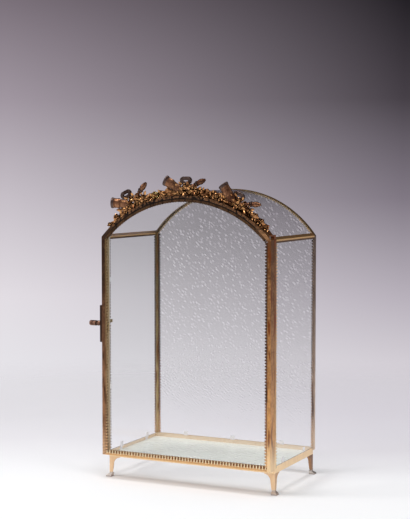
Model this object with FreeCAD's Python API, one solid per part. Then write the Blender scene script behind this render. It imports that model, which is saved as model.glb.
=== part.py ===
"""Table display cabinet of gilt brass and glass, with an arched top, a toothed
edging round its panes, a crest of three trophies and a hinged front door.

Millimetres. +Z is up and -Y is the front. The origin is on the floor, under
the middle of the base frame.
"""
import FreeCAD, Part
import math
import os
from collections import namedtuple

V = FreeCAD.Vector
Arch = namedtuple("Arch", "width bottom spring rise")

# Case
case_width = 220.0
hoop_depth = 129.4
spring_height = 292.5
hoop_rise = 56.4
door_rise = 49.8
sheet = 0.8
overrun = 4.0

# Base frame and feet
foot_height = 24.5
base_rail_height = 8.0
base_ledge = 6.0
base_inset = 5.0
foot_sheet = 1.2
foot_wing = 13.5
foot_wing_lip = 1.0
foot_knee_width = 5.6
foot_ankle_width = 4.0
foot_knee_share = 0.60
foot_ankle_share = 0.17
foot_curve_share = 0.30
hoof_width = 7.0
hoof_sole = 1.2
hoof_reach = 2.6

# Hoops of angle brass
hoop_lift = 5.0
hoop_side_leg = 5.5
front_hoop_leg = 5.0
rear_hoop_leg = 3.0
sill_leg = 3.0
spring_rail_drop = 3.6
spring_rail_climb = 3.2

# Toothed edgings
tooth_pitch = 5.8
tooth_root = 0.6
tooth_height = 2.8
tooth_tip_share = 0.5
door_arch_tooth_root = 2.2
rear_arch_tooth_root = 0.5
arch_tooth_height = 1.4

# Panes
pane_thickness = 2.0
rear_pane_thickness = 2.5
floor_pane_thickness = 3.0
pane_gap = 0.2
pane_split_drop = 1.2

# Door
door_depth = 9.8
door_gap = 0.5
door_leg = 4.2
door_sill_leg = 1.0

# Hinge
pivot_side_offset = 2.0
pivot_rear_offset = 8.0
pin_radius = 0.7
press_clearance = 0.02
running_clearance = 0.08
lug_half_width = 1.5
lug_thickness = 1.3
lug_clearance = 0.3
door_floor_gap = 0.5
washer_thickness = 0.4
hinge_leaf = 5.0
pin_reach = 3.6
block_width = 3.3
block_depth = 3.0
block_height = 7.0
block_drop = 2.2

# Latch
latch_height = 188.0
latch_case_height = 44.4
latch_case_width = 5.6
latch_case_depth = 3.3
latch_case_round = 0.9
spindle_radius = 1.0
hook_hub_radius = 1.6
hook_thickness = 1.2
hook_inset = 5.6
hook_arm_half = 0.9
hook_clearance = 0.3
hook_tip_width = 1.4
hook_tip_height = 2.1
hook_grip = 1.0
spindle_head_radius = 1.5
spindle_head = 0.6
keeper_thickness = 1.0
keeper_height = 3.6
keeper_reach = 5.0
knob_gap = 0.3
knob_neck_radius = 2.2
knob_neck = 1.4
knob_bead_radius = 3.1
knob_bead = 4.8
knob_groove_radius = 2.5
knob_groove = 0.6
knob_barrel_radius = 3.25
knob_barrel = 8.4
knob_end = 0.8
knob_end_radius = 2.9
knob_tip_radius = 1.4
knob_shoulder_share = 0.3
knob_facets = 16
knob_bore = 3.0
rivet_radius = 1.1
rivet_height = 0.7
rivet_inset = 3.6
rivet_top_radius = 0.4
rivet_dome_share = 0.5
rivet_rim_share = 0.8
rivet_facets = 6

# Glass clips
clip_sheet = 0.6
clip_length = 6.0
clip_reach = 5.5
clip_foot = 1.9
clip_clearance = 0.03
door_clip_reach = 3.0
door_clip_foot = 2.6
wall_clip_shares = (0.3, 0.8)
crown_clip_shares = (-0.6, 0.0, 0.6)
rail_clip_shares = (-0.55, 0.55)
sill_clip_shares = (-0.6, 0.0, 0.6)
stile_clip_shares = (0.2, 0.85)
door_sill_clip_shares = (-0.5, 0.5)

# Crest
crest_gap = 0.5
quiver_facets = 7
garland_sheet = 2.5
garland_least_edge = 0.02
garland_height = 7.4
garland_taper = 3.6
garland_end_share = 0.90
leaf_count = 24
leaf_length = 2.6
leaf_tip_share = 0.68
leaf_belly_share = 0.3
leaf_heel_share = 0.45
left_trophy_share = -0.545
right_trophy_share = 0.535
left_trophy_lift = 2.2
right_trophy_lift = 0.0
quiver_mouth_place = (-26.6, 18.0)
quiver_root_place = (-6.0, 6.2)
quiver_flatness = 0.5
quiver_radii = (3.4, 4.4, 5.0, 5.7, 5.7, 5.2, 5.9, 6.9)
quiver_shares = (0.0, 0.10, 0.58, 0.58, 0.68, 0.68, 0.84, 1.0)
quiver_wall = 1.2
quiver_floor_share = 0.62
arrow_pitch = 3.6
arrow_fan_share = 0.45
arrow_reach = 1.4
arrow_width = 3.0
arrow_notch = 1.0
arrow_sheet = 1.4
torch_root_place = (1.2, 7.4)
torch_tip_place = (26.4, 18.4)
torch_radii = (1.5, 1.5, 3.3, 3.3, 2.4, 3.9, 3.5, 1.9, 0.0)
torch_shares = (0.0, 0.44, 0.54, 0.60, 0.60, 0.73, 0.83, 0.94, 1.0)
torch_facets = 6
bow_place = (-0.4, 18.0)
bow_width = 14.4
bow_height = 9.4
bow_band = 3.2
bow_depth = 3.0
bow_facets = 10
tail_length = 8.5
tail_spread = 4.0
rose_radius = 4.4
rose_height = 4.8
rose_rim_share = 0.35
rose_heart_share = 0.45
rose_facets = 6
rose_places = ((-14.2, 5.0), (-4.8, 4.6), (4.8, 4.6), (13.6, 5.0), (-0.4, 10.6), (8.0, 10.2))
bud_places = ((-0.87, 4.8, 4.2), (-0.77, 5.4, 4.4), (-0.39, 4.8, 3.0), (-0.315, 5.6, 4.2),
              (-0.235, 4.6, 3.0), (0.235, 4.6, 3.0), (0.31, 4.8, 3.4), (0.78, 4.4, 3.2),
              (0.86, 3.8, 2.6))

# Worked out from the sizes above
half_width = case_width / 2
hoop_bottom = foot_height + hoop_lift
base_top = foot_height + base_rail_height
base_half_width = half_width - sheet
base_half_depth = hoop_depth / 2 - base_inset
front_hoop_y = -hoop_depth / 2
rear_hoop_y = hoop_depth / 2
front_leg_back = front_hoop_y + sheet
door_back = front_hoop_y - door_gap
door_face = door_back - door_depth
hoop = Arch(case_width, hoop_bottom, spring_height, hoop_rise)
door = Arch(case_width, hoop_bottom, spring_height, door_rise)
side_pane_face = half_width - sheet - pane_thickness
rear_pane_front = rear_hoop_y - sheet - rear_pane_thickness
pane_front = front_leg_back + pane_gap
pane_back = rear_pane_front - pane_gap
pane_split = spring_height - pane_split_drop
door_pane_back = door_face + sheet + pane_thickness
pivot_x = half_width - pivot_side_offset
pivot_y = door_back - pivot_rear_offset
pin_hole = pin_radius + running_clearance
tooth_reach = tooth_root + tooth_height
latch_y = door_pane_back + pane_gap + hook_hub_radius


def radius_of(arch):
    half = arch.width / 2
    return (half ** 2 + arch.rise ** 2) / (2 * arch.rise)


def centre_of(arch):
    return arch.spring + arch.rise - radius_of(arch)


def height_at(arch, x, inset=0.0):
    """Height of the arch's outline, drawn in by inset, above the place x."""
    return centre_of(arch) + math.sqrt((radius_of(arch) - inset) ** 2 - x ** 2)


def half_angle(arch, inset=0.0):
    """Angle from the crown to the foot of the arch, in degrees."""
    sine = (arch.width / 2 - inset) / (radius_of(arch) - inset)
    return math.degrees(math.asin(sine))


def turned(shape, arch, angle):
    """Copy of a shape made at the crown, carried round the arch by an angle."""
    copy = shape.copy()
    copy.rotate(V(0, 0, centre_of(arch)), V(0, 1, 0), angle)
    return copy


def mirrored(shape):
    return shape.mirror(V(0, 0, 0), V(1, 0, 0))


def box(x0, x1, y0, y1, z0, z1):
    return Part.makeBox(x1 - x0, y1 - y0, z1 - z0, V(x0, y0, z0))


def prism(points, direction):
    """Solid on a flat outline of straight sides."""
    outline = Part.makePolygon([V(*point) for point in points] + [V(*points[0])])
    return Part.Face(outline).extrude(direction)


def arched_block(arch, inset, y0, y1, drop=0.0):
    """Solid with the arch's outline, drawn in by inset, from y0 to y1."""
    x = arch.width / 2 - inset
    low = arch.bottom - drop
    foot = height_at(arch, x, inset)
    crown = centre_of(arch) + radius_of(arch) - inset
    edges = [
        Part.LineSegment(V(-x, y0, low), V(-x, y0, foot)).toShape(),
        Part.Arc(V(-x, y0, foot), V(0, y0, crown), V(x, y0, foot)).toShape(),
        Part.LineSegment(V(x, y0, foot), V(x, y0, low)).toShape(),
        Part.LineSegment(V(x, y0, low), V(-x, y0, low)).toShape(),
    ]
    return Part.Face(Part.Wire(edges)).extrude(V(0, y1 - y0, 0))


def arched_band(arch, outer, inner, y0, y1):
    """What lies between two insets of the arch's outline, open at the foot."""
    hole = arched_block(arch, inner, y0 - overrun, y1 + overrun, overrun)
    return arched_block(arch, outer, y0, y1).cut(hole)


def angle_hoop(arch, face, inward, face_leg, side_leg):
    """Hoop of angle brass: a flat leg in the plane y = face and a side leg."""
    near, far = sorted((face, face + inward * sheet))
    flat = arched_band(arch, 0.0, face_leg, near, far)
    near, far = sorted((face, face + inward * side_leg))
    side = arched_band(arch, 0.0, sheet, near, far)
    return flat.fuse(side).removeSplitter()


def between(shape, low, high):
    """The part of a shape between two heights."""
    reach = case_width
    return shape.common(box(-reach, reach, -reach, reach, low, high))


def on_side(shape, sign):
    """The part of a shape left (-1) or right (+1) of the middle."""
    reach = case_width
    near, far = sorted((0.0, sign * reach))
    return shape.common(box(near, far, -reach, reach, -reach, 2 * reach + spring_height))


def hoop_pieces(arch, face, inward, face_leg, side_leg):
    """Left post, right post and arch of a hoop."""
    whole = angle_hoop(arch, face, inward, face_leg, side_leg)
    posts = between(whole, arch.bottom, arch.spring)
    crown = between(whole, arch.spring, arch.spring + 2 * arch.rise)
    return on_side(posts, -1), on_side(posts, 1), crown


def skin(rings):
    """Solid of flat facets that joins rings of points in turn. A ring of one is a tip."""
    count = max(len(ring) for ring in rings)
    faces = []
    for a, b in zip(rings, rings[1:]):
        for i in range(count):
            j = (i + 1) % count
            corners = [a[i], a[j]] if len(a) > 1 else [a[0]]
            corners += [b[j], b[i]] if len(b) > 1 else [b[0]]
            faces.append(Part.Face(Part.makePolygon(corners + [corners[0]])))
    for ring in (rings[0], rings[-1]):
        if len(ring) > 1:
            faces.append(Part.Face(Part.makePolygon(ring + [ring[0]])))
    solid = Part.makeSolid(Part.makeShell(faces))
    if solid.Volume < 0:
        solid.reverse()
    return solid


def faceted(start, end, points, sides, flatness=1.0):
    """Turned form in flat facets on the line from start to end.

    Points are (share of the way, radius). Flatness is its depth over its width.
    """
    along = end - start
    side = along.cross(V(0.0, 1.0, 0.0))
    if side.Length < along.Length / 2:
        side = along.cross(V(0.0, 0.0, 1.0))
    side.normalize()
    other = side.cross(along).normalize() * flatness
    rings = []
    for share, radius in points:
        turns = [2 * math.pi * (i + 0.5) / sides for i in range(sides if radius else 1)]
        rings.append([start + along * share + side * (radius * math.cos(turn))
                      + other * (radius * math.sin(turn)) for turn in turns])
    return skin(rings)


# Toothed edgings

def toothed_strip(place, length, direction, root=tooth_root, reach=tooth_reach, curved=False):
    """Saw-toothed strip. place(s, h) gives the point s along the root, h in from it."""
    count = max(2, round(length / tooth_pitch))
    step = length / count
    points = [place(0.0, root)]
    for i in range(count):
        points.append(place((i + tooth_tip_share) * step, reach))
        points.append(place((i + 1) * step, root))
    start, end = place(0.0, 0.0), place(length, 0.0)
    edges = [Part.LineSegment(start, points[0]).toShape()]
    edges += [Part.LineSegment(a, b).toShape() for a, b in zip(points, points[1:])]
    edges.append(Part.LineSegment(points[-1], end).toShape())
    if curved:
        edges.append(Part.Arc(end, place(length / 2, 0.0), start).toShape())
    else:
        edges.append(Part.LineSegment(end, start).toShape())
    return Part.Face(Part.Wire(edges)).extrude(direction)


def face_strips(arch, leg, y, low, arch_root, sill=None):
    """Toothed strips inside a hoop's flat leg: two posts, the arch and any sill."""
    x = arch.width / 2 - leg
    through = V(0, sheet, 0)
    angle = half_angle(arch, leg)
    radius = radius_of(arch) - leg
    deepest = max(tooth_reach, arch_root + arch_tooth_height)
    foot = height_at(arch, x, leg) - deepest * math.cos(math.radians(angle))
    strips = [
        toothed_strip(lambda s, h: V(-x + h, y, low + s), foot - low, through),
        toothed_strip(lambda s, h: V(x - h, y, low + s), foot - low, through),
    ]

    def on_arch(s, h):
        turn = s / radius - math.radians(angle)
        reach = radius - h
        return V(reach * math.sin(turn), y, centre_of(arch) + reach * math.cos(turn))

    strips.append(toothed_strip(on_arch, 2 * radius * math.radians(angle), through,
                                arch_root, arch_root + arch_tooth_height, curved=True))
    if sill is not None:
        strips.append(toothed_strip(lambda s, h: V(-x + s, y, sill + h), 2 * x, through))
    return strips


def side_strips(face, inward):
    """Toothed strips on the inner edges of a hoop's two side legs."""
    edge = face + inward * hoop_side_leg
    high = spring_height - spring_rail_drop - pane_gap
    strip = toothed_strip(
        lambda s, h: V(base_half_width, edge + inward * h, hoop_bottom + s),
        high - hoop_bottom, V(sheet, 0, 0))
    return [mirrored(strip), strip]


# Base frame

def base_rails():
    """Four mitred angle rails."""
    w, d = base_half_width, base_half_depth
    outer = box(-w, w, -d, d, foot_height, base_top)
    well = box(-w + sheet, w - sheet, -d + sheet, d - sheet, foot_height + sheet, base_top + overrun)
    opening = box(-w + base_ledge, w - base_ledge, -d + base_ledge, d - base_ledge,
                  foot_height - overrun, base_top)
    frame = outer.cut(well).cut(opening)
    mitre = base_ledge + overrun
    rails = {}
    corners = ((-1, -1), (1, -1), (1, 1), (-1, 1))
    names = ("base_front_rail", "base_right_rail", "base_rear_rail", "base_left_rail")
    for i, name in enumerate(names):
        a, b = corners[i], corners[(i + 1) % 4]
        outline = [(a[0] * w, a[1] * d, 0), (b[0] * w, b[1] * d, 0),
                   (b[0] * (w - mitre), b[1] * (d - mitre), 0),
                   (a[0] * (w - mitre), a[1] * (d - mitre), 0)]
        rails[name] = frame.common(prism(outline, V(0, 0, base_top + overrun)))
    return rails


def foot():
    """Front right foot: two winged cheeks on one ridge, over a hoof."""
    knee = foot_height * foot_knee_share
    ankle = foot_height * foot_ankle_share
    x, y = base_half_width, -base_half_depth
    top = V(x - foot_wing, y, foot_height)
    lip = V(x - foot_wing, y, foot_height - foot_wing_lip)
    bend = V(x - foot_knee_width, y, knee)
    reach = bend - lip
    middle = V(lip.x + reach.x * (1 - foot_curve_share), y, lip.z + reach.z * foot_curve_share)
    low_in = V(x - foot_ankle_width, y, ankle)
    edges = [
        Part.LineSegment(top, lip).toShape(),
        Part.Arc(lip, middle, bend).toShape(),
        Part.LineSegment(bend, low_in).toShape(),
        Part.LineSegment(low_in, V(x, y, ankle)).toShape(),
        Part.LineSegment(V(x, y, ankle), V(x, y, foot_height)).toShape(),
        Part.LineSegment(V(x, y, foot_height), top).toShape(),
    ]
    cheek = Part.Face(Part.Wire(edges)).extrude(V(0, foot_sheet, 0))
    other = cheek.mirror(V(x, y, 0), V(1, 1, 0))

    def square(half, shift, z):
        cx, cy = x - foot_ankle_width / 2 + shift, y + foot_ankle_width / 2 - shift
        return [V(cx + half * dx, cy + half * dy, z) for dx, dy in ((-1, -1), (1, -1), (1, 1), (-1, 1))]

    slope = hoof_reach / math.sqrt(2)
    hoof = skin([square(foot_ankle_width / 2, 0.0, ankle), square(hoof_width / 2, slope, hoof_sole),
                 square(hoof_width / 2, slope, 0.0)])
    return cheek.fuse(other).fuse(hoof).removeSplitter()


# Hoops, sills and the rails at the springing

def sill(face, inward, leg):
    """Angle sill between the posts of a hoop, meeting the base frame."""
    x = half_width - leg
    near, far = sorted((face, face + inward * sheet))
    upright = box(-x, x, near, far, hoop_bottom, hoop_bottom + sill_leg)
    near, far = sorted((face + inward * sheet, face + inward * base_inset))
    flat = box(-base_half_width, base_half_width, near, far, hoop_bottom, hoop_bottom + sheet)
    return upright.fuse(flat).removeSplitter()


def spring_rails():
    """Bent rails over the joint between the side panes and the top pane."""
    reach = hoop_depth / 2 - hoop_side_leg
    band = arched_band(hoop, 0.0, sheet, -reach, reach)
    band = between(band, spring_height - spring_rail_drop, spring_height + spring_rail_climb)
    return on_side(band, -1), on_side(band, 1)


# Panes

def body_panes():
    shell = arched_band(hoop, sheet, sheet + pane_thickness, pane_front, pane_back)
    sides = between(shell, base_top, pane_split - pane_gap)
    top = between(shell, pane_split, spring_height + 2 * hoop_rise)
    rear = arched_block(hoop, sheet + pane_gap, rear_pane_front, rear_hoop_y - sheet, -sheet)
    x = base_half_width - sheet - pane_gap
    y = base_half_depth - sheet - pane_gap
    floor = box(-x, x, -y, y, foot_height + sheet, foot_height + sheet + floor_pane_thickness)
    return {"left_side_glass": on_side(sides, -1), "right_side_glass": on_side(sides, 1),
            "top_glass": top, "rear_glass": rear, "floor_glass": floor}


def clip(foot_out, reach):
    """Bent tab at the crown of an arch: foot at height 0 reaching down, leg along +Y.

    It is made below the origin, and the caller moves it to the pane's inner face.
    """
    outline = [(-clip_length / 2, 0, 0), (-clip_length / 2, reach, 0),
               (-clip_length / 2, reach, -clip_sheet), (-clip_length / 2, clip_sheet, -clip_sheet),
               (-clip_length / 2, clip_sheet, -foot_out), (-clip_length / 2, 0, -foot_out)]
    return prism(outline, V(clip_length, 0, 0))


def place_on_wall(shape, x, z):
    """Turn a tab made under the crown so that it stands on the right-hand wall at x."""
    copy = shape.copy()
    copy.rotate(V(0, 0, 0), V(0, 1, 0), 90)
    copy.translate(V(x, 0, z))
    return copy


def body_clips():
    clips = []
    tab = clip(clip_foot, clip_reach)
    tab.translate(V(0, front_leg_back, 0))
    for share in wall_clip_shares:
        z = base_top + share * (spring_height - base_top)
        right = place_on_wall(tab, side_pane_face, z)
        clips += [right, mirrored(right)]
    crown = tab.copy()
    crown.translate(V(0, 0, centre_of(hoop) + radius_of(hoop) - sheet - pane_thickness
                      - chord_sag(radius_of(hoop), clip_length) - clip_clearance))
    for share in crown_clip_shares:
        clips.append(turned(crown, hoop, share * half_angle(hoop)))
    # Joggled tabs on the base rails, under and behind the side panes
    rail_face = base_half_width - sheet
    low = foot_height + sheet + floor_pane_thickness + pane_gap
    high = base_top + clip_reach
    step = base_top - pane_gap
    outline = [(rail_face, low), (rail_face, step), (side_pane_face, step), (side_pane_face, high),
               (side_pane_face - clip_sheet, high), (side_pane_face - clip_sheet, step - clip_sheet),
               (rail_face - clip_sheet, step - clip_sheet), (rail_face - clip_sheet, low)]
    for share in rail_clip_shares:
        y = share * base_half_depth
        right = prism([(px, y - clip_length / 2, pz) for px, pz in outline], V(0, clip_length, 0))
        clips += [right, mirrored(right)]
    # Tabs on the rear sill, in front of the rear pane
    ledge = hoop_bottom + sheet
    near = base_half_depth + pane_gap
    for share in sill_clip_shares:
        x = share * half_width - clip_length / 2
        foot_plate = box(x, x + clip_length, near, rear_pane_front, ledge, ledge + clip_sheet)
        leg = box(x, x + clip_length, rear_pane_front - clip_sheet, rear_pane_front,
                  ledge, ledge + clip_reach + clip_foot)
        clips.append(foot_plate.fuse(leg).removeSplitter())
    return clips


def chord_sag(radius, chord):
    """How far the middle of a flat tab stands off a curved wall."""
    return radius - math.sqrt(radius ** 2 - (chord / 2) ** 2)


# Hinge

def upright_cylinder(x, y, z0, z1, radius):
    return Part.makeCylinder(radius, z1 - z0, V(x, y, z0), V(0, 0, 1))


def upper_lug_base():
    """Lowest height at which the lug clears the door's arch as the door turns."""
    nearest = pivot_x - lug_half_width - lug_clearance
    return height_at(door, nearest) + lug_clearance


def hinge_parts():
    low_top = hoop_bottom - door_floor_gap
    low_base = low_top - lug_thickness
    face = -base_half_depth
    arm = box(pivot_x - lug_half_width, pivot_x + lug_half_width, pivot_y, face, low_base, low_top)
    tip = upright_cylinder(pivot_x, pivot_y, low_base, low_top, lug_half_width)
    leaf = box(base_half_width - hinge_leaf, base_half_width, face - lug_thickness, face,
               foot_height, low_top)
    bore = pin_radius + press_clearance
    hole = upright_cylinder(pivot_x, pivot_y, low_base - overrun, low_top + overrun, bore)
    lower = arm.fuse([tip, leaf]).removeSplitter().cut(hole)

    up_base = upper_lug_base()
    up_top = up_base + lug_thickness
    rear = front_hoop_y + hoop_side_leg
    arm = box(pivot_x - lug_half_width, pivot_x + lug_half_width, pivot_y, rear, up_base, up_top)
    heel = box(pivot_x - lug_half_width, pivot_x + lug_half_width, front_hoop_y, rear,
               spring_height, up_base)
    tip = upright_cylinder(pivot_x, pivot_y, up_base, up_top, lug_half_width)
    hole = upright_cylinder(pivot_x, pivot_y, up_base - overrun, up_top + overrun, bore)
    case = arched_block(hoop, 0.0, front_hoop_y, rear + overrun)
    upper = arm.fuse([heel, tip]).removeSplitter().cut(hole).cut(case)

    block_low = spring_height - block_drop - block_height
    pins = [
        upright_cylinder(pivot_x, pivot_y, low_base, hoop_bottom + sheet + pin_reach, pin_radius),
        upright_cylinder(pivot_x, pivot_y, block_low + block_height - pin_reach, up_top, pin_radius),
    ]
    ring = upright_cylinder(pivot_x, pivot_y, low_top, low_top + washer_thickness, lug_half_width)
    washer = ring.cut(upright_cylinder(pivot_x, pivot_y, low_top - overrun, low_top + overrun, bore))
    return lower, upper, pins, washer


def hinge_holes():
    """Running holes for both pins, through everything that the door has there."""
    low = upright_cylinder(pivot_x, pivot_y, hoop_bottom - overrun,
                           hoop_bottom + block_height, pin_hole)
    high = upright_cylinder(pivot_x, pivot_y, spring_height - block_height - block_drop - overrun,
                            spring_height + block_height, pin_hole)
    return low.fuse(high)


def hinge_blocks():
    """Sockets inside the door's right stile, at its foot and under its arch."""
    x1 = half_width - sheet
    y0 = door_face + sheet
    low = hoop_bottom + sheet
    high = spring_height - block_drop
    blocks = [box(x1 - block_width, x1, y0, y0 + block_depth, low, low + block_height),
              box(x1 - block_width, x1, y0, y0 + block_depth, high - block_height, high)]
    return blocks


# Door

def door_parts():
    left, right, crown = hoop_pieces(door, door_face, 1, door_leg, door_depth)
    x = half_width - door_leg
    upright = box(-x, x, door_face, door_face + sheet, hoop_bottom, hoop_bottom + door_sill_leg)
    flat = box(-base_half_width, base_half_width, door_face + sheet, door_back,
               hoop_bottom, hoop_bottom + sheet)
    rail = upright.fuse(flat).removeSplitter()
    holes = hinge_holes()
    spindle = spindle_rod(-half_width - overrun, -half_width + overrun,
                          spindle_radius + running_clearance)
    pane = arched_block(door, sheet + pane_gap, door_face + sheet, door_pane_back, -sheet)
    blocks = hinge_blocks()
    edge = half_width - sheet - block_width - pane_gap
    y0, y1 = door_face, door_back
    for block in blocks:
        z0, z1 = block.BoundBox.ZMin - pane_gap, block.BoundBox.ZMax + pane_gap
        reach = block_height if block is blocks[1] else 0.0
        pane = pane.cut(box(edge, half_width, y0, y1, z0, z1 + reach))
    low = hoop_bottom + door_sill_leg
    gallery = face_strips(door, door_leg, door_face, low + tooth_reach,
                          door_arch_tooth_root, low)
    return {
        "door_left_stile": left.cut(spindle),
        "door_right_stile": right,
        "door_arch": crown.cut(holes),
        "door_bottom_rail": rail.cut(holes),
        "door_gallery": gallery,
        "door_glass": pane,
        "door_hinge_blocks": [block.cut(holes) for block in blocks],
        "door_clips": door_clips(),
    }


def door_clips():
    """Tabs on the inner faces of the door's flanges, behind its pane."""
    outline = [(-clip_length / 2, 0, 0), (-clip_length / 2, door_clip_foot, 0),
               (-clip_length / 2, door_clip_foot, -clip_sheet),
               (-clip_length / 2, clip_sheet, -clip_sheet),
               (-clip_length / 2, clip_sheet, -door_clip_reach),
               (-clip_length / 2, 0, -door_clip_reach)]
    tab = prism(outline, V(clip_length, 0, 0))
    tab.translate(V(0, door_pane_back, 0))
    wall = half_width - sheet
    clips = []
    for share in stile_clip_shares:
        z = hoop_bottom + share * (spring_height - hoop_bottom)
        right = place_on_wall(tab, wall, z)
        clips += [right, mirrored(right)]
    crown = tab.copy()
    crown.translate(V(0, 0, centre_of(door) + radius_of(door) - sheet
                      - chord_sag(radius_of(door), clip_length) - clip_clearance))
    for share in crown_clip_shares:
        clips.append(turned(crown, door, share * half_angle(door)))
    floor = tab.copy()
    floor.rotate(V(0, 0, 0), V(0, 1, 0), 180)
    for share in door_sill_clip_shares:
        copy = floor.copy()
        copy.translate(V(share * half_width, 0, hoop_bottom + sheet))
        clips.append(copy)
    return clips


# Latch

def spindle_rod(x0, x1, radius):
    return Part.makeCylinder(radius, x1 - x0, V(x0, latch_y, latch_height), V(1, 0, 0))


def latch_parts():
    case_face = -half_width - latch_case_depth
    y = (door_face + door_back) / 2
    low, high = latch_height - latch_case_height / 2, latch_height + latch_case_height / 2
    case = box(case_face, -half_width, y - latch_case_width / 2, y + latch_case_width / 2, low, high)
    edges = [e for e in case.Edges if e.BoundBox.XMax < case_face + sheet / 2]
    case = case.makeFillet(latch_case_round, edges)
    case = case.cut(spindle_rod(case_face - overrun, -half_width + overrun,
                                spindle_radius + running_clearance))
    dome = [(0, rivet_radius), (rivet_dome_share, rivet_radius * rivet_rim_share), (1, rivet_top_radius)]
    rivets = [faceted(V(case_face, y, z), V(case_face - rivet_height, y, z), dome, rivet_facets)
              for z in (low + rivet_inset, high - rivet_inset)]

    bead = knob_neck + knob_bead
    barrel = bead + knob_groove
    tip = barrel + knob_barrel
    whole = tip + knob_end
    waist = (knob_neck_radius + knob_bead_radius) / 2
    profile = [(0, knob_neck_radius), (knob_neck, knob_neck_radius), (knob_neck, waist),
               (knob_neck + knob_bead * knob_shoulder_share, knob_bead_radius),
               (bead - knob_bead * knob_shoulder_share, knob_bead_radius),
               (bead, knob_groove_radius), (barrel, knob_groove_radius),
               (barrel, knob_barrel_radius), (tip - knob_end, knob_barrel_radius),
               (tip, knob_end_radius), (whole, knob_tip_radius)]
    knob_face = case_face - knob_gap
    axis = V(knob_face, latch_y, latch_height)
    knob = faceted(axis, axis - V(whole, 0, 0), [(reach / whole, r) for reach, r in profile],
                   knob_facets)
    knob = knob.cut(spindle_rod(knob_face - knob_bore, knob_face + overrun,
                                spindle_radius + press_clearance))

    hook_face = -half_width + hook_inset
    hook_back = hook_face + hook_thickness
    rod = spindle_rod(knob_face - knob_bore, hook_back, spindle_radius)
    head = spindle_rod(hook_back, hook_back + spindle_head, spindle_head_radius)
    spindle = rod.fuse(head).removeSplitter()
    return {"latch_case": case, "latch_rivets": rivets, "latch_knob": knob,
            "latch_spindle": spindle, "latch_hook": latch_hook(hook_face),
            "latch_keeper": latch_keeper()}


def latch_hook(x0):
    """Hook at rest: its arm hangs down, clear of the keeper behind the front post."""
    keeper_back = front_leg_back + keeper_thickness - latch_y
    inner = keeper_back + hook_clearance
    outer = inner + hook_tip_width
    points = [(-hook_arm_half, 0), (-hook_arm_half, -outer), (hook_tip_height, -outer),
              (hook_tip_height, -inner), (hook_arm_half, -inner), (hook_arm_half, 0)]
    arm = prism([(x0, latch_y + py, latch_height + pz) for py, pz in points],
                V(hook_thickness, 0, 0))
    hub = spindle_rod(x0, x0 + hook_thickness, hook_hub_radius)
    bore = spindle_rod(x0 - overrun, x0 + overrun, spindle_radius + press_clearance)
    return arm.fuse(hub).removeSplitter().cut(bore)


def latch_keeper():
    """Plate behind the front left post, whose lower edge the hook passes under."""
    x0 = -side_pane_face + pane_gap
    low = latch_height + hook_tip_height - hook_grip
    return box(x0, x0 + keeper_reach, front_leg_back, front_leg_back + keeper_thickness,
               low, low + keeper_height)


# Crest

crest_back = front_hoop_y
crest_face = crest_back - garland_sheet
door_crown = spring_height + door_rise


def crest_point(place, y, lift=0.0):
    """Point of a trophy made over the crown: across, and above the door's arch."""
    return V(place[0], y, door_crown + place[1] + lift)


def garland():
    """Leafy band over the door's arch, soldered to the front hoop."""
    radius = radius_of(door) + crest_gap
    half = math.radians(half_angle(door)) * garland_end_share
    step = half / leaf_count * 2

    def polar(angle, reach):
        return V(reach * math.sin(angle), crest_face, centre_of(door) + reach * math.cos(angle))

    def rim(angle, extra=0.0):
        height = garland_height - garland_taper * (angle / half) ** 2
        return polar(angle, radius + height + extra)

    points = [polar(-half, radius)]
    leaf = ((0.0, 0.0), (leaf_belly_share, leaf_heel_share), (leaf_tip_share, 1.0))
    for i in range(leaf_count // 2):
        for share, height in leaf:
            points.append(rim((i + 1 - share) * step - half, height * leaf_length))
    points[1:] = sorted(points[1:], key=lambda point: point.x)
    mirror = [V(-point.x, point.y, point.z) for point in reversed(points)]
    edges = [Part.LineSegment(a, b).toShape() for a, b in zip(points + mirror, (points + mirror)[1:])
             if (b - a).Length > garland_least_edge]
    edges.append(Part.Arc(mirror[-1], polar(0.0, radius), points[0]).toShape())
    return Part.Face(Part.Wire(edges)).extrude(V(0, crest_back - crest_face, 0))


def quiver(lift):
    """Flared quiver, with the notched feathers of three arrows in its mouth."""
    depth = quiver_radii[-1] * quiver_flatness
    root = crest_point(quiver_root_place, crest_face - depth, lift)
    mouth = crest_point(quiver_mouth_place, crest_face - depth, lift)
    outside = list(zip(quiver_shares, quiver_radii))
    inside = [(share, radius - quiver_wall) for share, radius in reversed(outside)
              if share > quiver_floor_share]
    inside.append((quiver_floor_share, inside[-1][1]))
    tube = faceted(root, mouth, outside + inside, quiver_facets, quiver_flatness)
    along = (mouth - root).normalize()
    across = along.cross(V(0, 1, 0)).normalize()
    floor = root + (mouth - root) * quiver_floor_share
    length = (mouth - floor).Length + arrow_reach
    arrows = []
    for i in (-1, 0, 1):
        low = floor + across * (i * arrow_pitch * arrow_fan_share) - V(0, arrow_sheet / 2, 0)
        high = floor + across * (i * arrow_pitch) + along * length - V(0, arrow_sheet / 2, 0)
        half = across * (arrow_width / 2)
        blade = [low - half * arrow_fan_share, high - half, high - along * arrow_notch, high + half,
                 low + half * arrow_fan_share]
        arrows.append(prism(blade, V(0, arrow_sheet, 0)))
    return tube.fuse(arrows).removeSplitter()


def torch(lift):
    """Torch with a cup and a pine cone at its end."""
    y = crest_face - max(torch_radii)
    root = crest_point(torch_root_place, y, lift)
    tip = crest_point(torch_tip_place, y, lift)
    return faceted(root, tip, list(zip(torch_shares, torch_radii)), torch_facets)


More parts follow.
